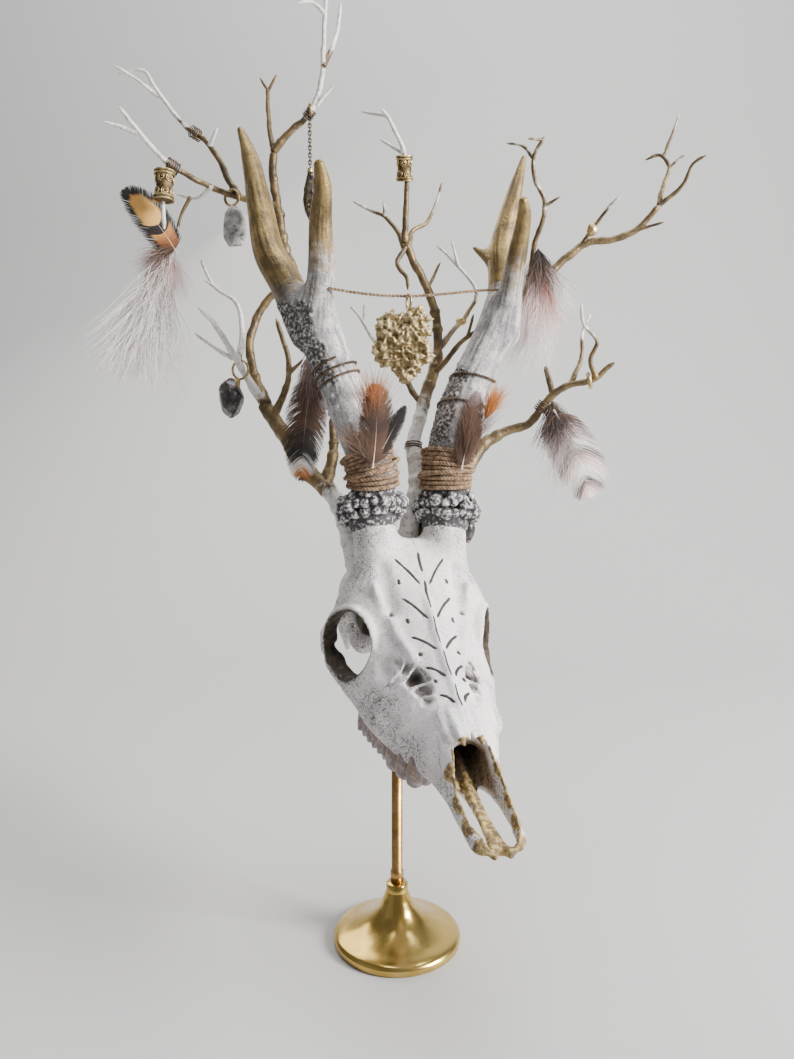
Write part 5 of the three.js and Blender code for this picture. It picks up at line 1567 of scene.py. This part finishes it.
# Each feather: the seed of its draws, and what grows on it, with values in the order of its function's own
FEATHERS = {
    "feather_right_high": (41, [
        (vane, (-120, 51, 362), (-146, 46, 394), (0.2, -1, 0.1), 9.5, 320,
         [BLACK, RUST, GOLDEN, GOLDEN, GOLDEN, ORANGE], 2, BLACK, (0.3, 0.42)),
        (down, (-122, 52, 366), (-0.66, -0.1, -0.5), 23, 34, 340, [DUSK, BROWN, LILAC], 0.1, 0.35, 0.3),
        (down, (-126, 51, 360), (-0.27, -0.1, -0.95), 62, 14, 2300, [PINK, WHITE, WHITE, WHITE],
         0.05, 0.12, 0.62, 13),
        (down, (-124, 52, 362), (0.12, -0.1, -1), 26, 30, 300, [LILAC, PINK, WHITE], 0.1)]),
    "feather_right_low": (42, [
        (down, (-46, 36, 305), (-0.05, 0, -1), 30, 26, 520, [PEACH, LILAC, BROWN, BROWN], 0.1, 0.35, 0.3, 8),
        (vane, (-45, 34, 296), (-52, 37, 239), (0.1, -1, 0), 11, 340,
         [BROWN, DUSK] * 3 + [BROWN, BLACK, DUSK, BLACK, BLACK, WHITE, ORANGE, BROWN], 1)]),
    "feather_right_binding": (43, [
        (vane, (-12, -3.4, 246), (-10, -10, 286), FRONT, 8.5, 280, [DUSK, BROWN, DUSK, BROWN, RUST], 1),
        (vane, (-9, -4, 252), (4, -8, 276), FRONT, 4, 150, [DUSK, BLACK, BLACK]),
        (down, (-12, -4, 264), (0.02, -0.12, 1), 30, 20, 260, [DUSK, BROWN, RUST, ORANGE], 0, 0.14, 0.36),
        (down, (-14, -3, 250), (-0.5, -0.1, 0.8), 22, 34, 240, [DUSK, BROWN, BROWN], 0, 0.2, 0.3)]),
    "feather_left_binding": (44, [
        (vane, (33, 12, 245), (40, 7, 284), FRONT, 6.5, 260, [DUSK, BROWN, DUSK, BROWN, LILAC]),
        (down, (34, 12, 250), (0.26, -0.1, 0.95), 34, 20, 300, [DUSK, BROWN, BROWN], 0, 0.18, 0.3),
        (down, (45, 8, 272), (0.4, -0.1, 0.85), 17, 28, 240, [RUST, ORANGE, ORANGE], 0, 0.2, 0.3)]),
    "feather_left_high": (45, [
        (down, (78, 56, 364), (0.12, -0.05, -1), 30, 30, 700, [BLACK, DUSK, BROWN, LILAC], 0.05, 0.17, 0.32),
        (down, (80, 55, 352), (0.1, -0.05, -1), 38, 18, 460, [DUSK, BLUSH, PINK, WHITE], 0.1, 0.15, 0.3),
        (down, (78, 54, 348), (-0.12, -0.05, -0.97), 48, 16, 1100, [LILAC, PINK, WHITE, WHITE],
         0.1, 0.12, 0.3),
        (down, (82, 55, 356), (0.5, -0.05, -0.85), 30, 18, 260, [LILAC, WHITE, WHITE], 0.05, 0.15, 0.26)]),
    "feather_left_low": (46, [
        (vane, (85, 41, 277), (105, 39, 230), (0.1, -1, 0), 14, 360,
         [DUSK, BROWN, DUSK, LILAC, LILAC, WHITE, BLACK, PINK, WHITE, WHITE, BLACK, PINK, WHITE], -3),
        (down, (85, 44, 280), (0.22, -0.05, -1), 28, 32, 760, [BROWN, BLACK, DUSK, DUSK, LILAC],
         0.05, 0.2, 0.34),
        (down, (90, 44, 264), (0.3, -0.05, -0.9), 30, 30, 420, [LILAC, LILAC, WHITE], 0.08, 0.35, 0.26)]),
}


def feather_mesh(name, seed, growth):
    """One feather with all that grows on it."""
    plumage = Plumage(seed)
    for grow, *values in growth:
        grow(plumage, *values)
    return plumage.mesh(name)


# Materials

def bone_material():
    """Chalky paint with soot, specks and gilding on the nose, and painted shade: lilac-grey in the sooty
    zones, dark in the hollows and the deep places.
    """
    f = Finish("Painted bone", Roughness=0.7)
    stored = ("hollow", "inner", "soot", "gilt", "nose")
    hollow, inner, soot, gilt, nose = (f.attribute(name) for name in stored)
    base = f.mix(f.noise(16, 4).between(0.35, 0.65), (0.70, 0.66, 0.655), (0.85, 0.825, 0.81))
    base = f.mix(f.noise(2.6, 5).between(0.56, 0.74) * 0.55, base, (0.52, 0.47, 0.47))
    dusty = f.noise(7, 4).between(0.5, 0.7)
    # Painted shade: lilac-grey patches in the sooty zones
    base = f.mix(soot * f.noise(12, 3).between(0.36, 0.64) * 0.4, base, (0.40, 0.36, 0.38))
    grime = (soot * 1.1 + 0.22) * f.noise(1.0, 4).between(0.5, 0.64) * (dusty * 0.7 + 0.3)
    base = f.mix(grime, base, (0.11, 0.095, 0.095))
    specks = f.spots(1.0, 0.42) * (soot * 0.7 + 0.4) + f.spots(0.6, 0.5) * (soot + 0.12)
    base = f.mix(specks.between(0.0, 0.9), base, (0.04, 0.036, 0.036))
    # Painted shade: the bone is darkened in its hollows
    base = f.mix(hollow * 0.75, base, (0.13, 0.10, 0.095))
    gold = f.mix(f.noise(2.2, 4).between(0.4, 0.65), (0.13, 0.085, 0.035), (0.50, 0.36, 0.14))
    # Painted shade in the deep places, over a brown tone: near black to dark brown in the sockets and
    # cavities, dark brown inside the nose
    cavity_brown_and_shade = f.mix(f.noise(3, 5).between(0.4, 0.75), (0.03, 0.022, 0.017), (0.115, 0.078, 0.036))
    nose_brown_and_shade = f.mix(f.noise(1.3, 5).between(0.45, 0.62), (0.24, 0.17, 0.105), (0.075, 0.052, 0.035))
    base = f.mix(inner, base, f.mix(nose * 0.85, cavity_brown_and_shade, nose_brown_and_shade))
    gilded = (gilt + (f.noise(3.0, 5) - 0.5) * 1.1).between(0.42, 0.8) * gilt.between(0.0, 0.3)
    base = f.mix(gilded, base, gold)
    f.set("Base Color", base)
    f.bump(f.noise(1.0, 5) * 0.6 + f.noise(4.5, 3) * 0.8 - specks * 0.3, 0.5)
    return f.material


def tooth_material():
    """Stained enamel, browner towards the root, with painted shade in the hollows."""
    f = Finish("Teeth", Roughness=0.4)
    base = f.mix(f.noise(3, 3).between(0.4, 0.65), (0.17, 0.14, 0.145), (0.38, 0.33, 0.335))
    # Painted shade: the teeth are darkened in their hollows
    base = f.mix(f.attribute("hollow"), base, (0.07, 0.05, 0.05))
    base = f.mix(f.attribute("rootward") * f.noise(2.4, 4).between(0.4, 0.6), base, (0.26, 0.16, 0.11))
    f.set("Base Color", base)
    f.bump(f.noise(0.8, 3), 0.2)
    return f.material


def antler_material():
    """Grey grain, crusted bark, a frosted burr and gilded tips."""
    f = Finish("Antler")
    stored = ("groove", "bark", "burr", "gild", "hollow")
    groove, bark, burr, gild, hollow = (f.attribute(name) for name in stored)
    base = f.mix(f.noise(9, 4).between(0.35, 0.65), (0.27, 0.26, 0.265), (0.62, 0.60, 0.595))
    base = f.mix(f.noise(0.9, 4).between(0.52, 0.64) * 0.7, base, (0.12, 0.11, 0.105))
    base = f.mix(groove * 0.62, base, (0.09, 0.085, 0.085))
    gold = f.mix(f.noise(9, 5, 0.6).between(0.32, 0.68), (0.14, 0.095, 0.04), (0.35, 0.24, 0.09))
    gold = f.mix(groove * 0.55, gold, (0.07, 0.045, 0.02))
    share = (gild + (f.noise(6, 5) - 0.5) * 0.9).between(0.18, 0.78)
    base = f.mix(share, base, gold)
    crust = f.mix(f.noise(1.6, 4).between(0.45, 0.65), (0.05, 0.045, 0.045), (0.46, 0.43, 0.41))
    base = f.mix(bark, base, crust)
    frosted = (1 - hollow).between(0.5, 0.74) * f.noise(1.4, 4).between(0.4, 0.6)
    base = f.mix(burr, base, f.mix(frosted, (0.045, 0.042, 0.045), (0.66, 0.64, 0.63)))
    f.set("Base Color", base)
    f.set("Metallic", share * 0.55)
    f.set("Roughness", 0.75 - share * 0.33)
    f.bump(f.noise(0.9, 5), 0.35)
    return f.material


def branch_material():
    """Bark rubbed with antique gold, white where it is pale."""
    f = Finish("Gilded branch")
    pale = f.attribute("pale")
    gold = f.mix(f.noise(7, 5, 0.6).between(0.3, 0.7), (0.08, 0.058, 0.033), (0.26, 0.18, 0.082))
    bark = f.noise(1.6, 4).between(0.56, 0.72)
    gold = f.mix(bark * 0.6, gold, (0.07, 0.055, 0.04))
    white = f.mix(f.noise(2.5, 4).between(0.45, 0.7), (0.82, 0.80, 0.77), (0.52, 0.48, 0.44))
    share = (pale + f.noise(7, 4) - 0.5).between(0.32, 0.6)
    f.set("Base Color", f.mix(share, gold, white))
    f.set("Metallic", 0.5 - share * 0.5)
    f.set("Roughness", 0.42 + share * 0.3)
    f.bump(f.noise(1.6, 5), 0.5)
    return f.material


# Light and dark colour of fibres
STRING_FIBRE = ((0.34, 0.23, 0.14), (0.16, 0.10, 0.06))
JUTE = ((0.38, 0.25, 0.155), (0.16, 0.10, 0.058))
# Metals: light colour, dark colour, roughness, size of the mottling and how metallic
DARK_WIRE = ((0.16, 0.11, 0.07), (0.06, 0.045, 0.035), 0.45, 3.0, 0.6)
AGED_GILT = ((0.66, 0.52, 0.27), (0.28, 0.20, 0.09), 0.35, 3.0, 0.9)
BEAD_HOLLOWS = ((0.20, 0.14, 0.07), (0.06, 0.04, 0.02), 0.5, 3.0, 0.9)
FINE_CHAIN = ((0.20, 0.15, 0.09), (0.07, 0.055, 0.04), 0.4, 3.0, 0.8)
CRUSTED_GILT = ((0.56, 0.45, 0.24), (0.20, 0.145, 0.065), 0.42, 2.0, 0.5)
POLISHED_BRASS = ((0.66, 0.47, 0.15), (0.50, 0.33, 0.085), 0.1, 20.0, 1.0)
COPPERY_ROD = ((0.50, 0.30, 0.11), (0.32, 0.175, 0.055), 0.25, 9.0, 1.0)
# Stones: light colour, dark colour, colour of the veins and roughness
CLOUDY_QUARTZ = ((0.58, 0.58, 0.56), (0.30, 0.30, 0.29), (0.10, 0.095, 0.09), 0.3)
MOTTLED_STONE = ((0.075, 0.065, 0.065), (0.012, 0.011, 0.012), (0.36, 0.27, 0.25), 0.2)
BLACK_GLASS = ((0.06, 0.05, 0.035), (0.012, 0.011, 0.011), (0.30, 0.21, 0.08), 0.12)
SEAM_COLOUR = (0.10, 0.075, 0.06)


def fibre_material(name, light, dark):
    """Rough twisted fibre."""
    f = Finish(name, Roughness=0.9)
    f.set("Base Color", f.mix(f.noise(2.2, 5).between(0.38, 0.64), dark, light))
    f.bump(f.noise(0.5, 3), 0.2)
    return f.material


def metal_material(name, light, dark, roughness, size, metallic):
    """Metal mottled between two colours."""
    f = Finish(name, Metallic=metallic)
    f.set("Base Color", f.mix(f.noise(size, 5, 0.65).between(0.38, 0.62), dark, light))
    f.set("Roughness", f.noise(size * 2, 4) * 0.2 + roughness)
    f.bump(f.noise(size * 0.4, 3), 0.08)
    return f.material


def stone_material(name, light, dark, veins, roughness):
    """Mottled stone under a thin gloss."""
    f = Finish(name, Coat_Weight=0.3)
    base = f.mix(f.noise(5, 6, 0.65).between(0.42, 0.6), dark, light)
    base = f.mix(f.noise(2.8, 5).between(0.56, 0.68), base, veins)
    f.set("Base Color", base)
    f.set("Roughness", f.noise(4, 3) * 0.2 + roughness)
    f.bump(f.noise(2.0, 4), 0.2)
    return f.material


def plain_material(name, colour, roughness):
    """One colour with faint mottling."""
    f = Finish(name)
    f.set("Base Color", f.mix(f.noise(3, 4).between(0.3, 0.7), colour, tuple(0.7 * c for c in colour)))
    f.set("Roughness", f.noise(2, 3) * 0.2 + roughness)
    return f.material


def plume_material():
    """The barbs' own colours, a little soiled."""
    f = Finish("Plumage", Roughness=0.75)
    tint = f.attribute("tint", "Color")
    f.set("Base Color", f.mix(f.noise(1.5, 3).between(0.5, 0.8) * 0.25, tint, (0.08, 0.05, 0.04)))
    return f.material


# Settings and operators

def size_setting(name, description, default, unit="LENGTH", low=0.0):
    """A size or power that a user may change."""
    return bpy.props.FloatProperty(name=name, description=description, default=default, min=low, unit=unit)


def colour_setting(name, description, default):
    """A colour that a user may change."""
    return bpy.props.FloatVectorProperty(
        name=name, description=description, default=default, subtype="COLOR", size=3, min=0, max=1)


class SkullSettings(bpy.types.PropertyGroup):
    """How finely the bone, teeth and antlers are modelled, and the paint."""
    bone_step: size_setting("Bone detail", "Grid step of the bone's skin", 0.00094, low=0.0006)
    tooth_step: size_setting("Tooth detail", "Grid step of the teeth's skin", 0.00042, low=0.0003)
    antler_step: size_setting("Antler detail", "Grid step of the antlers' skin", 0.00068, low=0.0004)
    paint_lift: size_setting("Paint thickness", "How far the painted strokes stand off the bone", 0.0002)
    paint_colour: colour_setting("Paint", "Colour of the strokes on the face", (0.03, 0.027, 0.027))


class StageSettings(bpy.types.PropertyGroup):
    """Floor and studio light."""
    floor_size: size_setting("Floor size", "Width of the floor", 6.0)
    floor_colour: colour_setting("Floor", "Colour of the floor", (0.46, 0.455, 0.45))
    key_power: size_setting("Key light", "Power of the main light", 62.0, "POWER")
    fill_power: size_setting("Fill light", "Power of the side light", 0.6, "POWER")
    back_power: size_setting("Back light", "Power of the light from behind", 8.0, "POWER")
    wall_power: size_setting("Wall light", "Power of the light on the backdrop", 44.0, "POWER")


DONE = {"FINISHED"}


class SKULL_OT_camera(bpy.types.Operator):
    """Set the camera where the photograph was taken"""
    bl_idname = "skull.camera"
    bl_label = "Camera"

    def execute(self, context):
        data = bpy.data.cameras.new("photo_camera")
        data.sensor_width = SENSOR
        data.lens = FOCAL_PIXELS / PICTURE_HEIGHT * SENSOR
        camera = bpy.data.objects.new("photo_camera", data)
        camera.location = CAMERA_PLACE
        camera.rotation_euler = (math.radians(90 - CAMERA_PITCH), 0, 0)
        context.scene.collection.objects.link(camera)
        context.scene.camera = camera
        return DONE


class SKULL_OT_string(bpy.types.Operator):
    """Tie the string between the antlers"""
    bl_idname = "skull.string"
    bl_label = "String"

    def execute(self, context):
        TREES["rods"] = rod_tree()
        path, _ = smooth_path(STRING_ROUTE, 1.0)
        lines = plied(path, STRING_PLY_RADIUS, 2, STRING_PITCH)
        twine = fibre_material("String fibre", *STRING_FIBRE)
        thing = rod_piece("string_between", lines, twine, "twine", "string", sides=7)
        return DONE


class SKULL_OT_bone(bpy.types.Operator):
    """Model the skull, its teeth, its seams and the painted pattern"""
    bl_idname = "skull.bone"
    bl_label = "Skull"

    def execute(self, context):
        settings = context.scene.skull_settings
        bone, teeth, skin = skull_meshes(settings.bone_step / MM, settings.tooth_step / MM)
        piece("skull_bone", bone, bone_material(), "bone", "skull")
        piece("skull_teeth", teeth, tooth_material(), "bone")
        strokes = drawn_on(skin, paint_lines(skin), settings.paint_lift / MM)
        paint = plain_material("Black paint", tuple(settings.paint_colour), 0.45)
        solid("face_paint", strokes, paint, "bone")
        seams = drawn_on(skin, suture_lines(), SEAM_LIFT)
        solid("skull_seams", seams, plain_material("Seam shadow", SEAM_COLOUR, 0.8), "bone")
        return DONE


class SKULL_OT_antlers(bpy.types.Operator):
    """Model both antlers"""
    bl_idname = "skull.antlers"
    bl_label = "Antlers"

    def execute(self, context):
        step = context.scene.skull_settings.antler_step / MM
        material = antler_material()
        for number, (side, antler) in enumerate(ANTLERS.items()):
            mesh = antler_mesh(side + "_antler", antler, step, ANTLER_SEED + number)
            nodes = [f"{side}_antler_{part}" for part in ("beam", "front_tine", "rear_tine")]
            piece(side + "_antler", mesh, material, "antler", *nodes)
        return DONE


class SKULL_OT_branches(bpy.types.Operator):
    """Grow the branches behind the head"""
    bl_idname = "skull.branches"
    bl_label = "Branches"

    def execute(self, context):
        material = branch_material()
        for name, starts in BRANCH_GROUPS.items():
            nodes = [node for node in BRANCHES if node.startswith(starts)]
            piece(name, branch_mesh(name, starts, material), None, "branch", *nodes)
        return DONE


class SKULL_OT_twine(bpy.types.Operator):
    """Wind the bindings, wires and thin strings"""
    bl_idname = "skull.twine"
    bl_label = "Twine"

    def execute(self, context):
        jute = fibre_material("Jute", *JUTE)
        for number, (side, antler) in enumerate(ANTLERS.items()):
            lines = binding_lines(antler, BINDING_SEED + number)
            rod_piece(side + "_twine", lines, jute, "twine", side + "_binding", sides=6)
        rod_piece("wire_wraps", wire_lines(), metal_material("Dark wire", *DARK_WIRE), "branch", sides=7)
        return DONE


class SKULL_OT_charms(bpy.types.Operator):
    """Make the beads, stones and pendants"""
    bl_idname = "skull.charms"
    bl_label = "Charms"

    def execute(self, context):
        gilt = metal_material("Aged gilt", *AGED_GILT)
        for name, (centre, axis, radius, height) in TUBE_BEADS.items():
            dark = metal_material(name + " hollows", *BEAD_HOLLOWS)
            tube = lathe(bead_outline(radius, height), centre, axis, ROUND)
            solid(name + "_tube", tube, dark, "gilt", name)
            lines = scrolls(centre, axis, radius * 0.86, height, SCROLLS_AROUND)
            for end in BEAD_RINGS:
                spot = np.array(centre) + unit(axis) * height * end
                lines.append((ring_line(spot, axis, radius * 0.96), BEAD_RING_RADIUS))
            rod_piece(name + "_filigree", lines, gilt, "gilt", sides=6)
        for name, centre, radii in SMALL_BEADS:
            solid(name + "_ball", chunk(centre, radii, len(name), SMALL_BEAD_CUTS), gilt, "gilt", name)
        loop = [(ring_line(*LOOP_BEAD), LOOP_BEAD_THICKNESS)]
        rod_piece("bead_ring_loop", loop, gilt, "gilt", "bead_ring", sides=10)
        quartz = stone_material("Cloudy quartz", *CLOUDY_QUARTZ)
        solid("crystal_lump", chunk(*CRYSTAL), quartz, "crystal", "crystal", smooth=False)
        onyx = stone_material("Mottled stone", *MOTTLED_STONE)
        solid("dark_stone_lump", chunk(*DARK_STONE), onyx, "stone", "dark_stone", smooth=False)
        solid("burr_bead", chunk(*BURR_BEAD), onyx, "stone", "bead_burr", smooth=False)
        drop = lathe(DROP_OUTLINE, DROP_PLACE, UPRIGHT, DROP_FACETS)
        jet = stone_material("Black glass", *BLACK_GLASS)
        solid("black_drop", drop, jet, "stone", "drop_on_chain", smooth=False)
        rod_piece("charm_fittings", fitting_lines(), gilt, "gilt")
        rod_piece("drop_chain", chain_lines(), metal_material("Fine chain", *FINE_CHAIN), "stone", sides=6)
        crust = metal_material("Crusted gilt", *CRUSTED_GILT)
        piece("pendant_leaf", pendant_mesh(), crust, "gilt", "pendant")
        return DONE


class SKULL_OT_feathers(bpy.types.Operator):
    """Set the feathers barb by barb"""
    bl_idname = "skull.feathers"
    bl_label = "Feathers"

    def execute(self, context):
        material = plume_material()
        for node, (seed, growth) in FEATHERS.items():
            name = node + "_plumage"
            piece(name, feather_mesh(name, seed, growth), material, "plume", node)
        return DONE


# Stand, as radius and height: the foot's edge, the flare that is rounded through its points, and the neck
FOOT_EDGE = [(0, 0), (32.2, 0), (33, 0.8)]
FOOT_FLARE = [(33, 3.4), (31.6, 4.9), (25, 7.2), (17, 11.2), (11.2, 16), (7.6, 22), (5.6, 27)]
FOOT_NECK = [(5.6, 30.6), (5.2, 31), (0, 31)]
FLARE_RINGS = 60
FOOT_SIDES = 96
ROD_RADIUS = 2.8
ROD_SPAN = (31.4, 149.6)
SLEEVE_RADIUS = 3.4
SLEEVE_HEIGHT = 6
SLEEVE_SLOPE = 0.6
ORIGIN = (0, 0, 0)


class SKULL_OT_stand(bpy.types.Operator):
    """Turn the brass foot and the rod"""
    bl_idname = "skull.stand"
    bl_label = "Stand"

    def execute(self, context):
        table = np.array(FOOT_FLARE, float)
        heights = np.linspace(table[0, 1], table[-1, 1], FLARE_RINGS)
        radii = smooth_curve(heights, table[:, 1], table[:, 0])
        outline = FOOT_EDGE + list(zip(radii.tolist(), heights.tolist())) + FOOT_NECK
        brass = metal_material("Polished brass", *POLISHED_BRASS)
        solid("brass_foot", lathe(outline, ORIGIN, UPRIGHT, FOOT_SIDES), brass, "brass", "stand_base")
        low, high = ROD_SPAN
        sleeve_top = low + SLEEVE_HEIGHT
        outline = [(0, low), (SLEEVE_RADIUS, low), (SLEEVE_RADIUS, sleeve_top),
                   (ROD_RADIUS, sleeve_top + SLEEVE_SLOPE), (ROD_RADIUS, high), (0, high)]
        copper = metal_material("Coppery rod", *COPPERY_ROD)
        solid("copper_rod", lathe(outline, ORIGIN, UPRIGHT, ROUND), copper, "copper", "stand_rod")
        return DONE


SWEEP_START = 500.0
SWEEP_RADIUS = 700.0
SWEEP_HEIGHT = 2600.0
SWEEP_STEPS = 16
WORLD_COLOUR = (0.70, 0.71, 0.73, 1)
WORLD_STRENGTH = 0.34
# Lights, in metres: place, aim, size and colour
LIGHTS = {
    "key": ((1.2, -0.5, 0.7), (0, 0, 0.25), 0.5, (1.0, 0.98, 0.96)),
    "fill": ((-1.1, -0.9, 0.6), (0, 0, 0.25), 1.2, (0.92, 0.92, 1.0)),
    "back": ((-0.5, 0.8, 1.0), (0, 0, 0.25), 0.8, (1.0, 0.96, 0.9)),
    "wall": ((0.2, 0.2, 2.2), (0, 1.2, 0.5), 1.2, (0.97, 0.99, 1.0)),
}


class SKULL_OT_stage(bpy.types.Operator):
    """Lay the pale floor and hang the soft lights"""
    bl_idname = "skull.stage"
    bl_label = "Stage"

    def execute(self, context):
        settings = context.scene.skull_stage
        half = settings.floor_size / 2 / MM
        turn = np.linspace(0, math.pi / 2, SWEEP_STEPS)
        wall = SWEEP_START + SWEEP_RADIUS
        depth = np.concatenate([[-half], SWEEP_START + SWEEP_RADIUS * np.sin(turn), [wall]])
        height = np.concatenate([[0], SWEEP_RADIUS * (1 - np.cos(turn)), [SWEEP_HEIGHT]])
        left = np.stack([np.full(len(depth), -half), depth, height], axis=1)
        number = np.arange(len(depth) - 1)
        quads = np.stack([number, number + len(depth), number + len(depth) + 1, number + 1], axis=1)
        sweep = new_mesh("floor", np.concatenate([left, left * (-1, 1, 1)]), quads)
        floor = bpy.data.objects.new("floor", sweep)
        finish = Finish("Floor", Roughness=0.6)
        finish.set("Base Color", (*settings.floor_colour, 1))
        floor.data.materials.append(finish.material)
        context.scene.collection.objects.link(floor)
        world = bpy.data.worlds.new("Studio")
        world.use_nodes = True
        sky = world.node_tree.nodes["Background"]
        sky.inputs["Color"].default_value = WORLD_COLOUR
        sky.inputs["Strength"].default_value = WORLD_STRENGTH
        context.scene.world = world
        for name, (place, aim, size, colour) in LIGHTS.items():
            data = bpy.data.lights.new(name, "AREA")
            data.energy = getattr(settings, name + "_power")
            data.size = size
            data.color = colour
            light = bpy.data.objects.new(name, data)
            light.location = place
            light.rotation_euler = (Vector(aim) - Vector(place)).to_track_quat("-Z", "Y").to_euler()
            context.scene.collection.objects.link(light)
        return DONE


OPERATORS = (
    SKULL_OT_camera, SKULL_OT_string, SKULL_OT_bone, SKULL_OT_antlers, SKULL_OT_branches, SKULL_OT_twine,
    SKULL_OT_charms, SKULL_OT_feathers, SKULL_OT_stand, SKULL_OT_stage)


class SKULL_PT_panel(bpy.types.Panel):
    """Buttons that build each group of pieces"""
    bl_idname = "SKULL_PT_panel"
    bl_label = "Dressed skull"
    bl_space_type = "VIEW_3D"
    bl_region_type = "UI"
    bl_category = "Skull"

    def draw(self, context):
        for group in (context.scene.skull_settings, context.scene.skull_stage):
            for key in group.__annotations__:
                self.layout.prop(group, key)
        for operator in OPERATORS:
            self.layout.operator(operator.bl_idname)


CLASSES = (SkullSettings, StageSettings, *OPERATORS, SKULL_PT_panel)


def register():
    for cls in CLASSES:
        bpy.utils.register_class(cls)
    bpy.types.Scene.skull_settings = bpy.props.PointerProperty(type=SkullSettings)
    bpy.types.Scene.skull_stage = bpy.props.PointerProperty(type=StageSettings)


def unregister():
    del bpy.types.Scene.skull_settings
    del bpy.types.Scene.skull_stage
    for cls in reversed(CLASSES):
        bpy.utils.unregister_class(cls)


def main():
    register()
    for operator in OPERATORS:
        group, name = operator.bl_idname.split(".")
        getattr(getattr(bpy.ops, group), name)()


if __name__ == "__main__":
    main()
